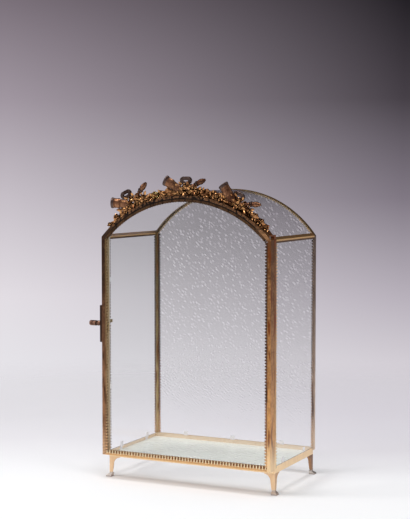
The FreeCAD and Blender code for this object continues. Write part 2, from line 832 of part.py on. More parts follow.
def bow(lift):
    """Ribbon loop standing behind the crossing, with its two tails."""
    centre = crest_point(bow_place, crest_face - bow_depth, lift)

    def oval(inset):
        a, b = bow_width / 2 - inset, bow_height / 2 - inset
        turns = [2 * math.pi * i / bow_facets for i in range(bow_facets + 1)]
        return Part.makePolygon([centre + V(a * math.cos(t), 0, b * math.sin(t)) for t in turns])

    through = V(0, bow_depth, 0)
    loop = Part.Face([oval(0.0), oval(bow_band)]).extrude(through)
    tails = []
    for side in (-1, 1):
        knot = centre - V(0, 0, bow_height / 2 - bow_band / 2)
        end = knot + V(side * tail_spread, 0, -tail_length)
        half = V(bow_band / 2, 0, 0)
        tails.append(prism([knot - half, knot + half, end + half, end - half], through))
    return loop.fuse(tails).removeSplitter()


def blossom(x, z, radius, height):
    """Domed flower with a hollow heart, its back on the garland."""
    profile = [(0, radius), (rose_rim_share, radius), (1, radius * rose_heart_share),
               (1 - rose_rim_share / 2, 0)]
    return faceted(V(x, crest_face, z), V(x, crest_face - height, z), profile, rose_facets)


def largest(shape):
    """The biggest solid that a cut has left."""
    return max(shape.Solids, key=lambda solid: solid.Volume)


def crest_parts():
    band = garland()
    buds = []
    for share, rise, radius in bud_places:
        bud = blossom(0.0, door_crown + rise, radius, rose_height * radius / rose_radius)
        buds.append(turned(bud, door, share * half_angle(door)))
    parts = {"crest_garland": band, "crest_buds": buds}
    trophies = (("left", left_trophy_share, left_trophy_lift), ("centre", 0.0, 0.0),
                ("right", right_trophy_share, right_trophy_lift))
    for side, share, lift in trophies:
        angle = share * half_angle(door)
        spray = [blossom(u, door_crown + v + lift, rose_radius, rose_height) for u, v in rose_places]
        for later in range(1, len(spray)):
            spray[later] = spray[later].cut(spray[:later])
        horn = largest(quiver(lift).cut(spray))
        staff = largest(torch(lift).cut(spray + [horn]))
        loop = bow(lift).cut(spray + [horn, staff])
        for kind, shape in (("quiver", horn), ("torch", staff), ("ribbon", loop)):
            parts[side + "_" + kind] = turned(shape, door, angle).cut(band)
        parts[side + "_roses"] = [turned(rose, door, angle) for rose in spray]
    return parts


# Whole cabinet

def cabinet():
    parts = dict(base_rails())
    corner = foot()
    rear = corner.mirror(V(0, 0, 0), V(0, 1, 0))
    parts["front_right_foot"] = corner
    parts["front_left_foot"] = mirrored(corner)
    parts["rear_right_foot"] = rear
    parts["rear_left_foot"] = mirrored(rear)
    left, right, crown = hoop_pieces(hoop, front_hoop_y, 1, front_hoop_leg, hoop_side_leg)
    parts.update(front_left_post=left, front_right_post=right, front_arch=crown)
    left, right, crown = hoop_pieces(hoop, rear_hoop_y, -1, rear_hoop_leg, hoop_side_leg)
    parts.update(rear_left_post=left, rear_right_post=right, rear_arch=crown)
    parts["front_sill"] = sill(front_hoop_y, 1, front_hoop_leg)
    parts["rear_sill"] = sill(rear_hoop_y, -1, rear_hoop_leg)
    parts["front_side_gallery"] = side_strips(front_hoop_y, 1)
    parts["rear_side_gallery"] = side_strips(rear_hoop_y, -1)
    parts["rear_face_gallery"] = face_strips(hoop, rear_hoop_leg, rear_hoop_y - sheet,
                                             hoop_bottom + sill_leg, rear_arch_tooth_root)
    parts["left_spring_rail"], parts["right_spring_rail"] = spring_rails()
    parts.update(body_panes())
    parts["glass_clips"] = body_clips()
    lower, upper, pins, washer = hinge_parts()
    parts.update(lower_hinge_bracket=lower, upper_hinge_bracket=upper,
                 hinge_pins=pins, hinge_washer=washer)
    parts.update(door_parts())
    parts.update(latch_parts())
    parts.update(crest_parts())
    return parts


os.makedirs("parts", exist_ok=True)
for name, shape in cabinet().items():
    if isinstance(shape, list):
        shape = Part.makeCompound(shape)
    shape.exportStep("parts/" + name + ".step")
print("pivot at", round(pivot_x, 3), round(pivot_y, 3))
print("latch axis at", round(latch_y, 3), round(latch_height, 3))
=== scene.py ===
"""Finishes the table display cabinet: glass, worn gilding, the crest and the stage.

Metres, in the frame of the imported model: +Z is up, -Y is the front.
"""

import math
from collections import namedtuple

import bmesh
import bpy
from mathutils import Matrix, Vector


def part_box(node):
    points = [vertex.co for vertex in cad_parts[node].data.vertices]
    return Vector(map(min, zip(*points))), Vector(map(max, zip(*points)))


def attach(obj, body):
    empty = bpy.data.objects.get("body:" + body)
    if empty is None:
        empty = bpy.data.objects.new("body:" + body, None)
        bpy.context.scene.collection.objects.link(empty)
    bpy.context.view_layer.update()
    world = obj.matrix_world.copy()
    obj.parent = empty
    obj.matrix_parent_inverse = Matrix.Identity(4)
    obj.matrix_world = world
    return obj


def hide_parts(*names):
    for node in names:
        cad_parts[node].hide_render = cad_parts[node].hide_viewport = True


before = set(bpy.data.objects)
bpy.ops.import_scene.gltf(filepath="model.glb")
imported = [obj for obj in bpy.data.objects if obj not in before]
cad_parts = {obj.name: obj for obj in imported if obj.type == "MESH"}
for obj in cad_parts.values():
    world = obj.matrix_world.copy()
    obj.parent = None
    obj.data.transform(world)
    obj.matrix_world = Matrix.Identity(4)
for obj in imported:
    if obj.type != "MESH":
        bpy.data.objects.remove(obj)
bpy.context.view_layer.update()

mm = 0.001

# The arch of the door, and the wall in front of which the crest stands
arch_centre = 195.9 * mm
arch_crown = 342.3 * mm
arch_half_angle = math.radians(48.7)
crest_wall = -67.2 * mm

# Where the camera stands and how it looks
camera_place = Vector((0.6832, -1.4192, 0.3625))
camera_azimuth = math.radians(26.0)
camera_elevation = math.radians(3.58)
camera_lens = 90.38
film_width = 36.0
across_picture = (math.cos(camera_azimuth), math.sin(camera_azimuth), 0.0)
into_picture = (-math.sin(camera_azimuth), math.cos(camera_azimuth), 0.0)


# Shader nodes

def painted(red, green, blue, cover=1.0):
    """A colour as a screen shows it, 0 to 255, turned into what the shader takes."""
    def level(value):
        value /= 255.0
        return value / 12.92 if value <= 0.04045 else ((value + 0.055) / 1.055) ** 2.4
    return level(red), level(green), level(blue), cover


def feed(tree, made, inputs):
    """Sets the inputs of a node, each to a value or from another node's output."""
    for title, value in inputs.items():
        if isinstance(value, bpy.types.NodeSocket):
            tree.links.new(value, made.inputs[title])
        else:
            made.inputs[title].default_value = value


def node(tree, kind, place, inputs=None, **settings):
    """Adds a shader node and feeds its inputs."""
    made = tree.nodes.new("ShaderNode" + kind)
    made.location = place
    for name, value in settings.items():
        setattr(made, name, value)
    feed(tree, made, inputs or {})
    return made


def reckoned(tree, place, operation, first, second, **settings):
    """What one operation makes of two numbers."""
    made = node(tree, "Math", place, {0: first, 1: second}, operation=operation, **settings)
    return made.outputs[0]


def graded(tree, place, value, start, end, curve="LINEAR", most=1.0):
    """Goes from 0 to most while a value goes from start to end."""
    made = node(tree, "MapRange", place, {"Value": value, "From Min": start, "From Max": end,
                                          "To Max": most}, interpolation_type=curve)
    return made.outputs["Result"]


def eased(tree, place, value, start, end, most=1.0):
    """Goes from 0 to most with a soft start and a soft end."""
    return graded(tree, place, value, start, end, "SMOOTHSTEP", most)


def laid_over(tree, place, mask, under, over, kind="RGBA"):
    """Colour, or number, laid over the one below it through a mask."""
    made = node(tree, "Mix", place, {"Factor": mask, "A": under, "B": over}, data_type=kind)
    return made.outputs["Result"]


def noise(tree, place, spot, scale, detail, roughness=0.5):
    """Outputs of an even noise on a place."""
    made = node(tree, "TexNoise", place, {"Vector": spot, "Scale": scale, "Detail": detail,
                                          "Roughness": roughness})
    return made.outputs


def shaken(tree, place, spot, scale, detail, far):
    """Place moved a little by noise, so that the pattern on it isn't regular."""
    bend = noise(tree, place, spot, scale, detail)["Color"]
    shift = node(tree, "VectorMath", (place[0] + 180, place[1]), {0: bend, "Scale": far},
                 operation="SCALE")
    moved = node(tree, "VectorMath", (place[0] + 360, place[1]), {0: spot, 1: shift.outputs[0]},
                 operation="ADD")
    return moved.outputs[0]


def split_up(tree, place, spot):
    """The three measures of a place, by the names X, Y and Z."""
    return node(tree, "SeparateXYZ", place, {0: spot}).outputs


def ramp_stops(ramp, stops):
    """Gives a colour ramp its stops: (position, colour)."""
    for i, (position, colour) in enumerate(stops):
        stop = ramp.elements[i] if i < 2 else ramp.elements.new(position)
        stop.position = position
        stop.color = colour


def two_sided_tones(tree, value, spot, half_width, steps, left, right):
    """Tones at steps of a value, blended from the left of the picture to its right."""
    climb = graded(tree, (-600, 200), value, steps[0], steps[-1])
    shares = [(step - steps[0]) / (steps[-1] - steps[0]) for step in steps]
    sides = []
    for height, tones in ((350, left), (50, right)):
        ramp = node(tree, "ValToRGB", (-400, height), {0: climb})
        ramp_stops(ramp.color_ramp, zip(shares, [painted(*tone) for tone in tones]))
        sides.append(ramp.outputs["Color"])
    across = node(tree, "VectorMath", (-800, -200), {0: spot, 1: across_picture},
                  operation="DOT_PRODUCT")
    side = graded(tree, (-600, -200), across.outputs["Value"], -half_width, half_width)
    return laid_over(tree, (-100, 100), side, *sides)


# Camera, backdrop and lamps

# Colours of the backdrop by the slope of the line of sight, left and right
slopes = (-0.26, -0.22, -0.19, -0.14, -0.09, -0.015, 0.06, 0.135)
backdrop_left = ((253, 253, 253), (248, 247, 248), (231, 227, 232), (229, 227, 232),
                 (226, 221, 227), (198, 191, 199), (160, 150, 160), (121, 111, 120))
backdrop_right = ((246, 245, 247), (234, 232, 236), (220, 216, 222), (211, 206, 213),
                  (184, 177, 187), (128, 120, 131), (70, 64, 71), (34, 31, 36))
backdrop_half_width = 0.15

# Painted light on the table top: colours by the depth behind the cabinet, left and right
floor_depths = (-0.30, -0.04, 0.14, 0.23, 0.40)
floor_left = ((252, 252, 252), (252, 252, 253), (242, 240, 243), (236, 233, 237),
              (231, 228, 232))
floor_right = ((250, 250, 250), (249, 248, 250), (229, 225, 230), (226, 222, 228),
               (224, 219, 226))
floor_half_width = 0.22
floor_radius = 2.2
floor_fades_from, floor_fades_to = 0.40, 1.10

even_light = (0.97, 0.985, 1.0, 1.0)
even_strength = 0.51


def set_camera():
    data = bpy.data.cameras.new("studio_camera")
    data.lens = camera_lens
    data.sensor_width = film_width
    camera = bpy.data.objects.new("studio_camera", data)
    level = math.cos(camera_elevation)
    ahead = Vector((into_picture[0] * level, into_picture[1] * level,
                    -math.sin(camera_elevation)))
    camera.rotation_euler = ahead.to_track_quat("-Z", "Y").to_euler()
    camera.location = camera_place
    bpy.context.collection.objects.link(camera)
    bpy.context.scene.camera = camera


def set_backdrop():
    """World: the backdrop for what looks at it, a plain even light for the rest."""
    world = bpy.data.worlds.new("studio")
    bpy.context.scene.world = world
    world.use_nodes = True
    tree = world.node_tree
    tree.nodes.clear()
    sight = node(tree, "TexCoord", (-1000, 0)).outputs["Generated"]
    slope = split_up(tree, (-800, 0), sight)["Z"]
    tones = two_sided_tones(tree, slope, sight, backdrop_half_width, slopes,
                            backdrop_left, backdrop_right)
    shown = node(tree, "Background", (200, 100), {"Color": tones})
    even = node(tree, "Background", (200, -100), {"Color": even_light, "Strength": even_strength})
    path = node(tree, "LightPath", (-350, 600)).outputs
    seen = reckoned(tree, (-50, 450), "MAXIMUM", path["Is Camera Ray"], path["Is Glossy Ray"])
    seen = reckoned(tree, (150, 450), "MAXIMUM", seen, path["Is Transmission Ray"])
    choice = node(tree, "MixShader", (450, 100), {0: seen, 1: even.outputs[0], 2: shown.outputs[0]})
    node(tree, "OutputWorld", (650, 100), {0: choice.outputs[0]})


def set_floor():
    """White table top, painted lighter in front of the cabinet, that fades into the backdrop well
    away.
    """
    bpy.ops.object.select_all(action="DESELECT")
    bpy.ops.mesh.primitive_circle_add(vertices=96, radius=floor_radius, fill_type="NGON")
    floor = bpy.context.object
    floor.name = "studio_floor"
    material = bpy.data.materials.new("studio_floor")
    material.use_nodes = True
    tree = material.node_tree
    tree.nodes.clear()
    spot = node(tree, "TexCoord", (-1100, 0)).outputs["Object"]
    depth = node(tree, "VectorMath", (-900, 300), {0: spot, 1: into_picture},
                 operation="DOT_PRODUCT")
    tones = two_sided_tones(tree, depth.outputs["Value"], spot, floor_half_width, floor_depths,
                            floor_left, floor_right)
    white = node(tree, "BsdfDiffuse", (100, 100), {"Color": tones})
    clear = node(tree, "BsdfTransparent", (100, -80))
    length = node(tree, "VectorMath", (-800, -400), {0: spot}, operation="LENGTH")
    fade = eased(tree, (-600, -400), length.outputs["Value"], floor_fades_from, floor_fades_to)
    choice = node(tree, "MixShader", (300, 0), {0: fade, 1: white.outputs[0], 2: clear.outputs[0]})
    node(tree, "OutputMaterial", (500, 0), {0: choice.outputs[0]})
    floor.data.materials.append(material)


def set_lamp(name, place, aim, size, watts):
    data = bpy.data.lights.new(name, "AREA")
    data.shape = "RECTANGLE"
    data.size, data.size_y = size
    data.energy = watts
    lamp = bpy.data.objects.new(name, data)
    lamp.location = place
    lamp.rotation_euler = (Vector(aim) - Vector(place)).to_track_quat("-Z", "Y").to_euler()
    bpy.context.collection.objects.link(lamp)


def set_lamps():
    set_lamp("key_lamp", (-1.3, -1.1, 1.7), (0.0, 0.0, 0.15), (0.9, 0.9), 15.6)
    set_lamp("fill_lamp", (1.6, -0.8, 1.3), (0.0, 0.0, 0.15), (0.7, 0.9), 5.5)
    set_lamp("top_lamp", (0.0, -0.35, 2.0), (0.0, 0.0, 0.1), (0.5, 0.4), 11.8)


# Finishes

def new_group(name, inputs, outputs):
    """Node group whose inputs and outputs are each a name and a kind."""
    group = bpy.data.node_groups.new(name, "ShaderNodeTree")
    kinds = {"value": "NodeSocketFloat", "colour": "NodeSocketColor", "vector": "NodeSocketVector"}
    for way, sockets in (("INPUT", inputs), ("OUTPUT", outputs)):
        for title, kind in sockets.items():
            group.interface.new_socket(title, in_out=way, socket_type=kinds[kind])
    start = group.nodes.new("NodeGroupInput")
    start.location = (-1200, 0)
    end = group.nodes.new("NodeGroupOutput")
    end.location = (900, 0)
    return group, start.outputs, end


def tarnish_and_shade_group():
    """Gilding with rust and blotches, painted shade dark towards the top, painted light pale low down.
    """
    group, given, end = new_group(
        "tarnish_and_shade",
        {"Place": "vector", "Bright": "colour", "Dark": "colour", "Rust": "colour",
         "Pale": "colour", "Low": "value", "High": "value", "Blotch": "value",
         "Smooth": "value", "Dull": "value"},
        {"Color": "colour", "Roughness": "value", "Height": "value"})
    height = split_up(group, (-1000, 200), given["Place"])["Z"]
    climb = graded(group, (-800, 200), height, given["Low"], given["High"])
    patches = noise(group, (-1000, -50), given["Place"], scale=70.0, detail=5.0,
                    roughness=0.65)["Fac"]
    specks = noise(group, (-1000, -300), given["Place"], scale=420.0, detail=3.0)["Fac"]
    both = reckoned(group, (-780, -150), "ADD", patches, specks)
    centred = reckoned(group, (-600, -150), "SUBTRACT", both, 1.0)
    spread = reckoned(group, (-420, -150), "MULTIPLY", centred, given["Blotch"])
    # Painted shade grows with height; the blotches are the metal's own uneven tarnish
    shade_and_blotch = reckoned(group, (-240, 100), "ADD", climb, spread, use_clamp=True)
    shaded_and_blotched = laid_over(group, (0, 200), shade_and_blotch, given["Bright"], given["Dark"])
    drawn = node(group, "Mapping", (-1000, -560), {"Vector": given["Place"],
                                                   "Scale": (1.0, 1.0, 0.16)})
    streaks = noise(group, (-800, -560), drawn.outputs[0], scale=240.0, detail=3.0)["Fac"]
    rusty = eased(group, (-600, -560), streaks, 0.47, 0.66)
    red = laid_over(group, (250, 200), rusty, shaded_and_blotched, given["Rust"])
    # Painted light from the white table makes the metal pale low down
    low_down = eased(group, (250, 450), height, 75.0 * mm, 28.0 * mm, 0.85)
    toned = laid_over(group, (450, 200), low_down, red, given["Pale"])
    rough = laid_over(group, (0, -50), shade_and_blotch, given["Smooth"], given["Dull"], "FLOAT")
    feed(group, end, {"Color": toned, "Roughness": rough, "Height": specks})
    return group


def ribs_group():
    """Row of pressed ribs: 0 on a rib and 1 in the gap beside it."""
    group, given, end = new_group("ribs", {"Along": "value", "Pitch": "value"}, {"Gap": "value"})
    turns = reckoned(group, (-800, 0), "DIVIDE", given["Along"], given["Pitch"])
    swing = reckoned(group, (-600, 0), "PINGPONG", turns, 0.5)
    feed(group, end, {"Gap": eased(group, (-400, 0), swing, 0.24, 0.10)})
    return group


def figure_group():
    """Pressed figure of cathedral glass: soft raised drops, turned three ways and scattered."""
    group, given, end = new_group("drops", {"Place": "vector", "Drops": "value"},
                                  {"Height": "value", "Drop": "value"})
    moved = shaken(group, (-1000, -200), given["Place"], scale=70.0, detail=1.0, far=3.0 * mm)
    layers = []
    for row, (angle, jump) in enumerate(((8.0, 0.0), (82.0, 0.37), (-52.0, 0.71))):
        height = 200 - 350 * row
        turned = node(group, "Mapping", (-440, height),
                      {"Vector": moved, "Location": (jump, 0.0, jump),
                       "Rotation": (0.0, math.radians(angle), 0.0), "Scale": (1.0, 1.0, 1.3)},
                      vector_type="TEXTURE")
        cells = node(group, "TexVoronoi", (-220, height),
                     {"Vector": turned.outputs[0], "Scale": given["Drops"], "Randomness": 0.9},
                     feature="F1").outputs
        drop = eased(group, (0, height), cells["Distance"], 0.42, 0.12)
        picked = node(group, "SeparateColor", (0, height - 150), {0: cells["Color"]})
        chance = eased(group, (180, height - 150), picked.outputs[0], 0.30, 0.85)
        layers.append(reckoned(group, (360, height), "MULTIPLY", drop, chance))
    most = reckoned(group, (540, 100), "MAXIMUM", layers[0], layers[1])
    most = reckoned(group, (700, 100), "MAXIMUM", most, layers[2])
    ripple = noise(group, (360, -900), given["Place"], scale=60.0, detail=1.0)["Fac"]
    relief = node(group, "Math", (700, -200), {0: ripple, 1: 0.4, 2: most},
                  operation="MULTIPLY_ADD")
    feed(group, end, {"Height": relief.outputs[0], "Drop": most})
    return group


def new_material(name):
    """Material with its places and its shader, without an output."""
    material = bpy.data.materials.new(name)
    material.use_nodes = True
    tree = material.node_tree
    tree.nodes.clear()
    place = node(tree, "TexCoord", (-1100, 0)).outputs
    shader = node(tree, "BsdfPrincipled", (450, 0))
    return material, tree, place, shader


def with_output(material, surface):
    """Ends a material with the shader that it shows."""
    node(material.node_tree, "OutputMaterial", (950, 0), {0: surface.outputs[0]})
    return material


def gilding(name, bright, dark, rust, pale, climb, blotch, gloss, grain=0.2 * mm, metal=0.75,
            recess=None, reach=2.5 * mm, grazing_shade=None, bands=None, ribs=None, inside=None):
    """Gilt or bare metal, which darkens with painted shade between the two heights of climb and
    dulls from the first gloss to the second. Wax and painted shade darken its recesses, painted
    shade darkens faces that turn from the eye, bands lie at set heights, ribs are (pitch, gap colour
    of painted shade, height where they begin, height where they are full), and inside is the
    colour of painted light on the faces that look to +X."""
    material, tree, place, shader = new_material(name)
    toned = node(tree, "Group", (-500, 0), {
        "Place": place["Object"], "Bright": painted(*bright), "Dark": painted(*dark),
        "Rust": painted(*rust), "Pale": painted(*pale), "Low": climb[0], "High": climb[1],
        "Blotch": blotch, "Smooth": gloss[0], "Dull": gloss[1]}, node_tree=tarnish_and_shade).outputs
    colour = toned["Color"]
    height = split_up(tree, (-900, 600), place["Object"])["Z"]
    if ribs is not None:
        # The gap colour paints the shade between pressed ribs
        pitch, gap_colour, off, on = ribs
        row = node(tree, "Group", (-500, 1100), {"Along": height, "Pitch": pitch},
                   node_tree=ribbing)
        here = reckoned(tree, (-300, 1000), "MULTIPLY", row.outputs["Gap"],
                        eased(tree, (-500, 900), height, off, on))
        colour = laid_over(tree, (-120, 900), here, colour, painted(*gap_colour))
    if inside is not None:
        # Painted light on the faces that look to +X, which stand in shade
        looks = split_up(tree, (-900, 800), place["Normal"])["X"]
        colour = laid_over(tree, (-120, 800), eased(tree, (-500, 750), looks, 0.4, 0.8),
                           colour, painted(*inside))
    if bands is not None:
        bottom, top, stops = bands
        ramp = node(tree, "ValToRGB", (-500, 650),
                    {0: graded(tree, (-700, 650), height, bottom, top)})
        ramp_stops(ramp.color_ramp, [(share, painted(*tone, cover)) for share, tone, cover in stops])
        colour = laid_over(tree, (-120, 650), ramp.outputs["Alpha"], colour, ramp.outputs["Color"])
    if recess is not None:
        # Painted shade, with dark wax, in the recesses that the occlusion finds
        open_air = node(tree, "AmbientOcclusion", (-500, 350), {"Distance": reach}, samples=8)
        colour = laid_over(tree, (-120, 350),
                           eased(tree, (-300, 350), open_air.outputs["AO"], 0.25, 0.9),
                           painted(*recess), colour)
    if grazing_shade is not None:
        # Painted shade on the faces that turn away from the eye
        turned = node(tree, "LayerWeight", (-500, 500), {"Blend": 0.5})
        colour = laid_over(tree, (60, 450),
                           eased(tree, (-300, 500), turned.outputs["Facing"], 0.35, 0.92),
                           colour, painted(*grazing_shade))
    bump = node(tree, "Bump", (-150, -250), {"Height": toned["Height"], "Strength": 0.35,
                                             "Distance": grain})
    feed(tree, shader, {"Base Color": colour, "Roughness": toned["Roughness"], "Metallic": metal,
                        "Specular IOR Level": 0.25, "Normal": bump.outputs[0]})
    return with_output(material, shader)


def chased_arch_material(name, gilt, dark, left_end, right_end):
    """The door's arch: chased with small leaves in painted light and shade, a dark line inside and its
    ends plain.
    """
    material, tree, place, shader = new_material(name)
    spot = place["Object"]
    from_centre = node(tree, "VectorMath", (-1000, 300),
                       {0: spot, 1: (1.0, 0.0, 1.0), 2: (0.0, 0.0, -arch_centre)},
                       operation="MULTIPLY_ADD")
    radius = node(tree, "VectorMath", (-820, 300), {0: from_centre.outputs[0]}, operation="LENGTH")
    edge = eased(tree, (-640, 300), radius.outputs["Value"], 143.1 * mm, 144.0 * mm)
    moved = shaken(tree, (-1000, 0), spot, scale=260.0, detail=2.0, far=4.0 * mm)
    leaves = node(tree, "TexVoronoi", (-460, 0), {"Vector": moved, "Scale": 330.0},
                  feature="SMOOTH_F1")
    raised = eased(tree, (-280, 0), leaves.outputs["Distance"], 0.62, 0.22)
    chasing = reckoned(tree, (-100, 150), "MULTIPLY", raised, edge)
    # Painted highlight on the raised leaves, painted shade between them
    chased = laid_over(tree, (60, 250), chasing, painted(*dark), painted(*gilt))
    measures = split_up(tree, (-640, 550), spot)
    ends = eased(tree, (-460, 550), measures["Z"], 308.0 * mm, 298.0 * mm)
    side = eased(tree, (-280, 550), measures["X"], -40.0 * mm, 40.0 * mm)
    plain = laid_over(tree, (-100, 450), side, painted(*left_end), painted(*right_end))
    bump = node(tree, "Bump", (230, -200), {"Height": chasing, "Strength": 0.8,
                                            "Distance": 0.6 * mm})
    feed(tree, shader, {"Base Color": laid_over(tree, (230, 250), ends, chased, plain),
                        "Metallic": 0.8, "Roughness": 0.36, "Normal": bump.outputs[0]})
    return with_output(material, shader)


def glass(name, tint, upper_shade, bend, drops=None, relief=0.0, tilt=0.0, rough=0.0, through=1.0):
    """Pane that lets the lamps through: painted light low down, painted shade above, any pressed
    figure.
    """
    material, tree, place, shader = new_material(name)
    height = split_up(tree, (-900, 250), place["Object"])["Z"]
    # Painted light from the white table keeps it clear low down; painted shade greys it above
    colour = laid_over(tree, (-520, 250), graded(tree, (-720, 250), height, 50.0 * mm, 300.0 * mm),
                       painted(*tint), painted(*upper_shade))
    if drops is not None:
        flat = node(tree, "Mapping", (-900, -200), {
            "Vector": place["Object"], "Rotation": (math.radians(tilt), 0.0, 0.0)})
        pressed = node(tree, "VectorMath", (-720, -200), {0: flat.outputs[0], 1: (1.0, 0.0, 1.0)},
                       operation="MULTIPLY")
        figure = node(tree, "Group", (-540, -200), {"Place": pressed.outputs[0], "Drops": drops},
                      node_tree=figuring).outputs
        bump = node(tree, "Bump", (-300, -250), {"Height": figure["Height"], "Strength": 1.0,
                                                 "Distance": relief})
        feed(tree, shader, {"Normal": bump.outputs[0]})
        # The drops take no tint: painted glints of light through them
        colour = laid_over(tree, (-300, 100), figure["Drop"], colour, painted(*white))
    feed(tree, shader, {"Base Color": colour, "Roughness": rough, "IOR": bend,
                        "Transmission Weight": through})
    clear = node(tree, "BsdfTransparent", (450, -500), {"Color": painted(253, 253, 253)})
    path = node(tree, "LightPath", (-150, 600)).outputs
    passes = reckoned(tree, (50, 450), "MAXIMUM", path["Is Shadow Ray"], path["Is Diffuse Ray"])
    mirrored = reckoned(tree, (50, 650), "SUBTRACT", path["Is Glossy Ray"],
                        path["Is Transmission Ray"], use_clamp=True)
    passes = reckoned(tree, (200, 450), "MAXIMUM", passes, mirrored)
    choice = node(tree, "MixShader", (750, 100), {0: passes, 1: shader.outputs[0],
                                                  2: clear.outputs[0]})
    return with_output(material, choice)


# Modelling helpers

sharpest_round = math.radians(40.0)


def turn(degrees, axis):
    return Matrix.Rotation(math.radians(degrees), 4, axis)


def take_up(piece):
    """Leaves one piece selected and active."""
    bpy.ops.object.select_all(action="DESELECT")
    piece.select_set(True)
    bpy.context.view_layer.objects.active = piece


def begin(piece):
    """Opens one piece for shaping, with nothing selected."""
    take_up(piece)
    bpy.ops.object.mode_set(mode="EDIT")
    bpy.ops.mesh.select_all(action="DESELECT")


def begin_circle(sides, radius, fill="NGON"):
    """Starts a piece from a level circle about the origin, opened and all selected."""
    bpy.ops.object.select_all(action="DESELECT")
    bpy.ops.mesh.primitive_circle_add(vertices=sides, radius=radius, fill_type=fill,
                                      location=(0.0, 0.0, 0.0))
    piece = bpy.context.object
    bpy.ops.object.mode_set(mode="EDIT")
    bpy.ops.mesh.select_all(action="SELECT")
    return piece


def begin_box(size, middle):
    """Starts a piece from a box of a size at a place, opened and all selected."""
    bpy.ops.object.select_all(action="DESELECT")
    bpy.ops.mesh.primitive_cube_add(size=1.0, location=(0.0, 0.0, 0.0))
    piece = bpy.context.object
    bpy.ops.object.mode_set(mode="EDIT")
    bpy.ops.mesh.select_all(action="SELECT")
    bpy.ops.transform.resize(value=size)
    bpy.ops.transform.translate(value=middle)
    return piece


def choose(piece, test):
    """Selects the points of an opened piece whose place passes the test."""
    bpy.ops.mesh.select_mode(type="VERT")
    form = bmesh.from_edit_mesh(piece.data)
    for point in form.verts:
        point.select_set(test(point.co))
    form.select_flush_mode()
    bmesh.update_edit_mesh(piece.data)


def close(piece):
    """Merges doubled points, turns the faces outwards and ends the shaping."""
    bpy.ops.mesh.select_all(action="SELECT")
    bpy.ops.mesh.remove_doubles(threshold=0.01 * mm)
    bpy.ops.mesh.normals_make_consistent(inside=False)
    bpy.ops.object.mode_set(mode="OBJECT")
    bpy.ops.object.transform_apply(location=True, rotation=True, scale=True)
    return piece


def thicken(piece, thickness):
    """Gives a thin sheet its wall."""
    wall = piece.modifiers.new("wall", "SOLIDIFY")
    wall.thickness = thickness
    wall.offset = 0.0
    take_up(piece)
    bpy.ops.object.modifier_apply(modifier="wall")
    return piece


def turned_form(name, rings, sides, flat=1.0):
    """Form turned about +Z through rings of (height, radius), and flattened."""
    low, wide = rings[0]
    piece = begin_circle(sides, wide)
    piece.name = name
    bpy.ops.transform.translate(value=(0.0, 0.0, low))
    for (start, before), (end, after) in zip(rings, rings[1:]):
        bpy.ops.mesh.extrude_region_move(TRANSFORM_OT_translate={"value": (0.0, 0.0, end - start)})
        bpy.ops.transform.resize(value=(after / before, after / before, 1.0))
    bpy.ops.mesh.select_all(action="SELECT")
    bpy.ops.transform.resize(value=(1.0, flat, 1.0), center_override=(0.0, 0.0, 0.0))
    return close(piece)


def copy_at(pattern, place, name="copy"):
    """Copy of a pattern with its own mesh, put in place."""
    copy = pattern.copy()
    copy.data = pattern.data.copy()
    copy.name = name
    bpy.context.collection.objects.link(copy)
    copy.data.transform(place)
    return copy


def joined(name, pieces):
    bpy.ops.object.select_all(action="DESELECT")
    for piece in pieces:
        piece.select_set(True)
    bpy.context.view_layer.objects.active = pieces[0]
    bpy.ops.object.join()
    whole = bpy.context.object
    whole.name = name
    whole.data.name = name
    return whole


def coat(piece, material):
    """Gives a piece one finish all over."""
    piece.data.materials.clear()
    piece.data.materials.append(material)
    return piece


def second_coat(piece, material, where):
    """Gives another finish to the faces whose middle passes the test."""
    piece.data.materials.append(material)
    for face in piece.data.polygons:
        face.material_index = int(where(face.center))
    return piece


def settle(piece, body, nodes=()):
    """Smooth shading, the body that a piece rides on and the parts that it stands for."""
    take_up(piece)
    bpy.ops.object.shade_smooth_by_angle(angle=sharpest_round)
    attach(piece, body)
    if nodes:
        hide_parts(*nodes)


# Toothed edgings

door_front, back_face = -75.0 * mm, 64.7 * mm
sheet = 0.8 * mm
case_side = 110.0 * mm
side_edge, side_low, side_top = 59.2 * mm, 29.5 * mm, 288.7 * mm
door_sill_top = 30.5 * mm
above_spring = 1.8 * mm

# Inside a hoop's flat legs: half width, heights of its uprights, then its arch
Opening = namedtuple("Opening", "half low top radius centre angle")
door_opening = Opening(105.8 * mm, 33.9 * mm, 288.5 * mm, 142.19 * mm, 195.91 * mm,
                       math.radians(48.08))
rear_opening = Opening(107.0 * mm, 32.5 * mm, 289.5 * mm, 132.47 * mm, 213.43 * mm,
                       math.radians(53.87))

# One tooth as it is pressed, and each edging: its root strip and its teeth's pitch, reach
# into the pane and width against that one
tooth_tip_radius, tooth_reach, tooth_pitch = 1.2 * mm, 3.4 * mm, 3.55 * mm
Edging = namedtuple("Edging", "root pitch reach width")
upright_edging = Edging(1.6 * mm, tooth_pitch, tooth_reach, 1.0)
side_edging = Edging(0.8 * mm, tooth_pitch, tooth_reach, 1.0)
sill_edging = Edging(1.6 * mm, 3.75 * mm, 5.7 * mm, 0.66)
door_arch_edging = Edging(3.1 * mm, tooth_pitch, 3.7 * mm, 0.72)
rear_arch_edging = Edging(0.9 * mm, tooth_pitch, 1.9 * mm, 1.0)


